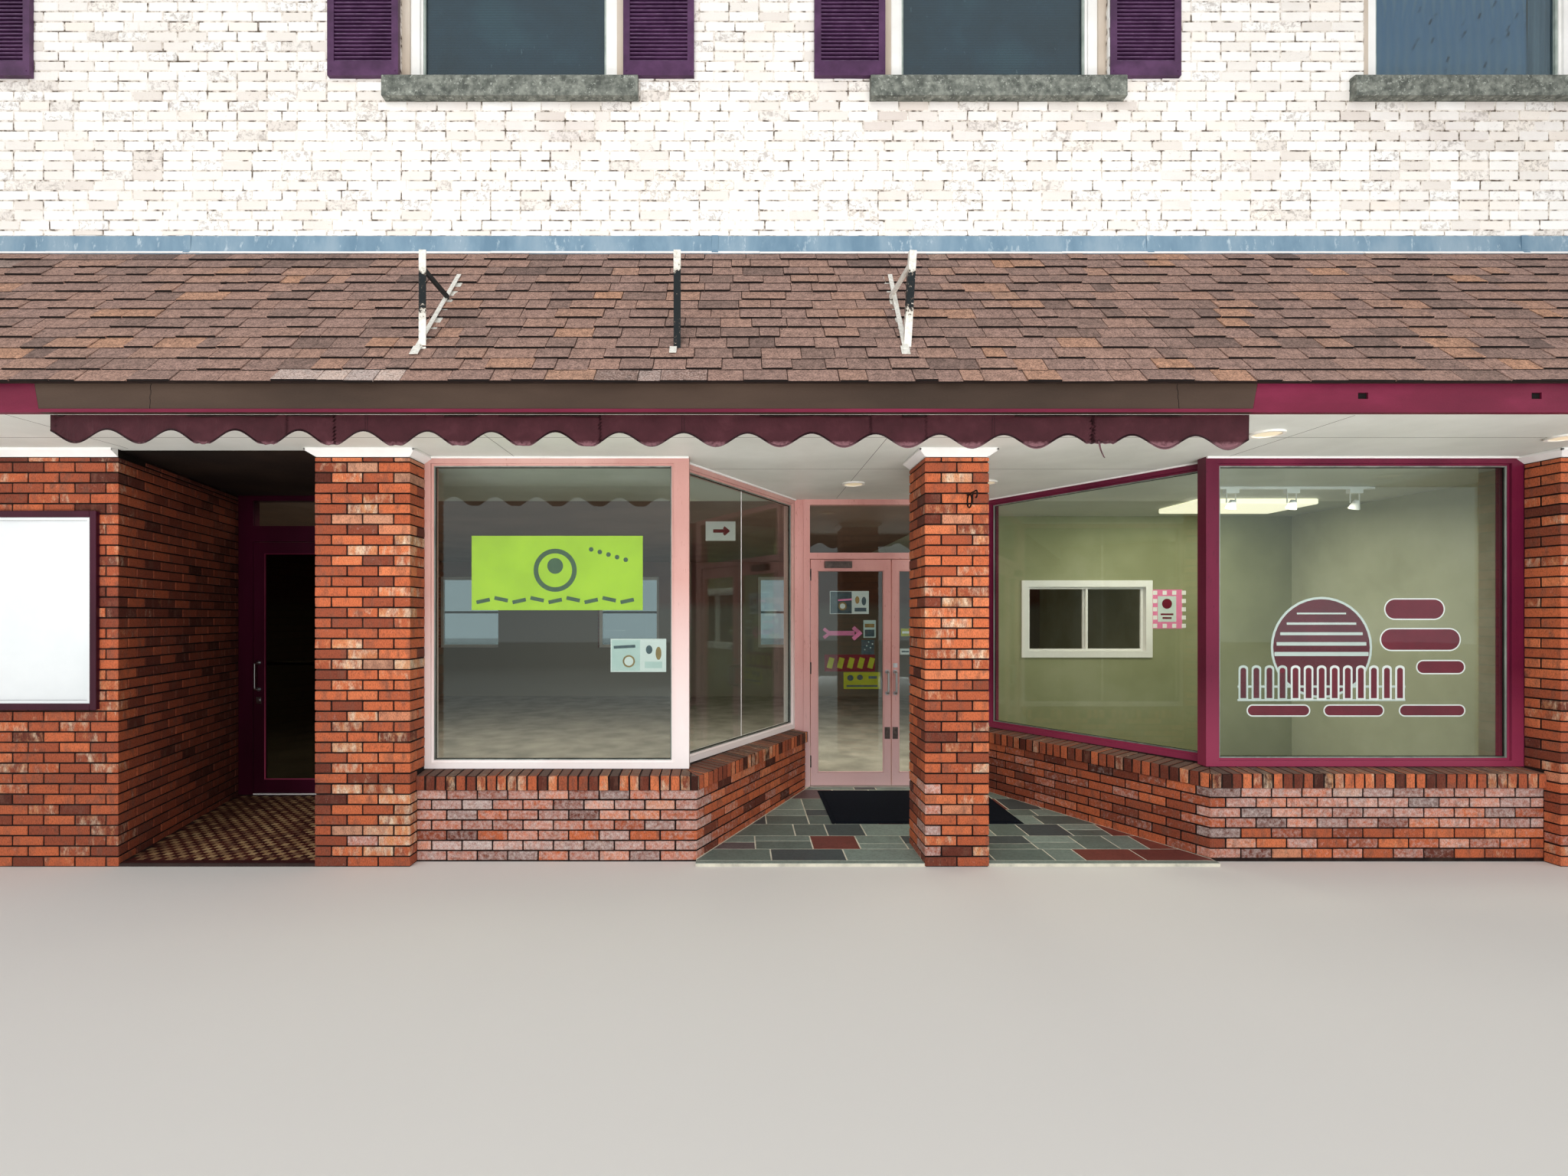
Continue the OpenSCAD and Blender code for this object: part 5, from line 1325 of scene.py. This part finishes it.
addSheetSign("windowDecal", 4.02, 5.18, 1.050, 1.064, 0.2668, "whiteInk whiteInk maroonInk", decal)

# lit box in the left shop, sheets on the doors and a check-bordered poster on the serving wall
addSheetSign("signBox", 0.243, 0.548, 2.412, 2.608, 2.60, "whiteInk redFilm",
             [bar(1, 0.385, 2.51, 0.13, 0.035), bar(1, 0.455, 2.525, 0.07, 0.030, 40),
              bar(1, 0.455, 2.495, 0.07, 0.030, -40)], thick=0.03)
inside = 1.9978                                                # back of the door panes
doorSheets = (
    ("doorFlyer", 1.433, 1.798, 1.659, 1.874, "whiteInk slateInk tanInk pinkSheet",
     [bar(1, 1.538, 1.766, 0.200, 0.205), disc(2, 1.552, 1.733, 0.078), disc(0, 1.552, 1.733, 0.050),
      bar(3, 1.575, 1.792, 0.130, 0.016, -4), disc(2, 1.690, 1.790, 0.040, 0.070),
      disc(1, 1.752, 1.780, 0.042, 0.080), bar(1, 1.720, 1.700, 0.110, 0.035)]),
    ("doorArrow", 1.420, 1.665, 1.457, 1.500, "pinkSheet",
     [bar(0, 1.405, 1.498, 0.075, 0.030, 38), bar(0, 1.405, 1.459, 0.075, 0.030, -38),
      bar(0, 1.688, 1.500, 0.100, 0.036, 42), bar(0, 1.688, 1.457, 0.100, 0.036, -42)]),
    ("doorNotice", 1.748, 1.863, 1.437, 1.601, "paleSheet tanInk slateInk",
     [bar(1, 1.805, 1.550, 0.090, 0.035), bar(2, 1.805, 1.480, 0.090, 0.065)]),
    ("doorCard", 1.727, 1.848, 1.279, 1.415, "slateInk paleSheet",
     [bar(1, 1.760 + 0.018 * i, 1.325 + 0.018 * ((i * 2) % 5), 0.011, 0.011) for i in range(5)]),
    ("doorLabel", 1.562, 1.905, 0.957, 1.114, "ochreSheet slateInk",
     [disc(1, 1.625, 1.060, 0.060, 0.055), disc(1, 1.715, 1.065, 0.058, 0.050),
      bar(1, 1.735, 0.985, 0.290, 0.018), bar(1, 1.835, 1.065, 0.080, 0.024)]),
)
for name, x0, x1, z0, z1, colours, marks in doorSheets:
    addSheetSign(name, x0, x1, z0, z1, inside, colours, marks, "left_door")
addSheetSign("doorBand", 1.383, 1.856, 1.121, 1.279, inside + 0.0012, "redFilm ochreSheet",
             [bar(1, 1.440 + 0.095 * i, 1.200, 0.050, 0.100, 15) for i in range(5)], "left_door")
addSheetSign("rightDoorLabel", 2.100, 2.190, 1.451, 1.523, inside, "ochreSheet whiteInk",
             [bar(1, 2.145, 1.487, 0.070, 0.020)], "right_door")
addSheetSign("rightDoorTag", 2.090, 2.190, 1.279, 1.335, inside, "whiteInk slateInk",
             [bar(1, 2.140, 1.307, 0.070, 0.014)], "right_door")
squares = [bar(1, 5.115 + 0.104 * i, 1.535 + 0.09 * j, 0.045, 0.045) for i in range(4) for j in range(5)
           if i in (0, 3) or j in (0, 4)]
squares += [bar(3, 5.244, 1.718, 0.20, 0.28), disc(2, 5.244, 1.775, 0.11), bar(2, 5.244, 1.66, 0.14, 0.02),
            bar(2, 5.244, 1.62, 0.10, 0.02)]
addSheetSign("checkPoster", 5.078, 5.411, 1.505, 1.930, servingY - 0.003,
             "pinkSheet whiteInk maroonInk paleSheet", squares)
lining = newMesh()
addBlock(lining, (5.845, 0.306, 0.60), (5.942, 0.42, soffitZ - 0.004))
softenEdges(lining, 0.003, 2)
addPiece("paneLining", lining, "beigeLining")
print("window sheets are up")

# paint of the two shops' walls, and the right shop's lights
innerFace = halfWidth - 0.29
repaint("party_walls", "darkShopWall", lambda x, y, z, n: -innerFace < x < 0)
repaint("party_walls", "paleShopWall", lambda x, y, z, n: 0 < x < innerFace)
for nodeName in ("back_wall_bands", "back_wall_piers"):
    repaint(nodeName, "darkShopWall", lambda x, y, z, n: n.y < -0.5)
fitting = newMesh()
addBlock(fitting, (4.84, 1.92, soffitZ - 0.05), (5.95, 2.55, soffitZ - 0.0005))
softenEdges(fitting, 0.012, 3)
addPiece("ceilingPanel", fitting, "opalPanel")
track = newMesh()
addBlock(track, (4.60, 1.31, soffitZ - 0.022), (5.92, 1.345, soffitZ - 0.0005))
for x in (4.72, 5.23, 5.76):
    addBlock(track, (x - 0.055, 1.305, soffitZ - 0.058), (x + 0.055, 1.35, soffitZ - 0.022))
    for arm in (x - 0.038, x + 0.038):
        addBlock(track, (arm - 0.003, 1.322, soffitZ - 0.135), (arm + 0.003, 1.332, soffitZ - 0.058))
    addCone(track, 24, 0.042, 0.020, 0.075, moved(x, 1.32, soffitZ - 0.15) @ turned(24, "X"))
softenEdges(track, 0.0015, 2)
addPiece("trackLights", track, "whiteEnamel")
print("shop interiors are painted")
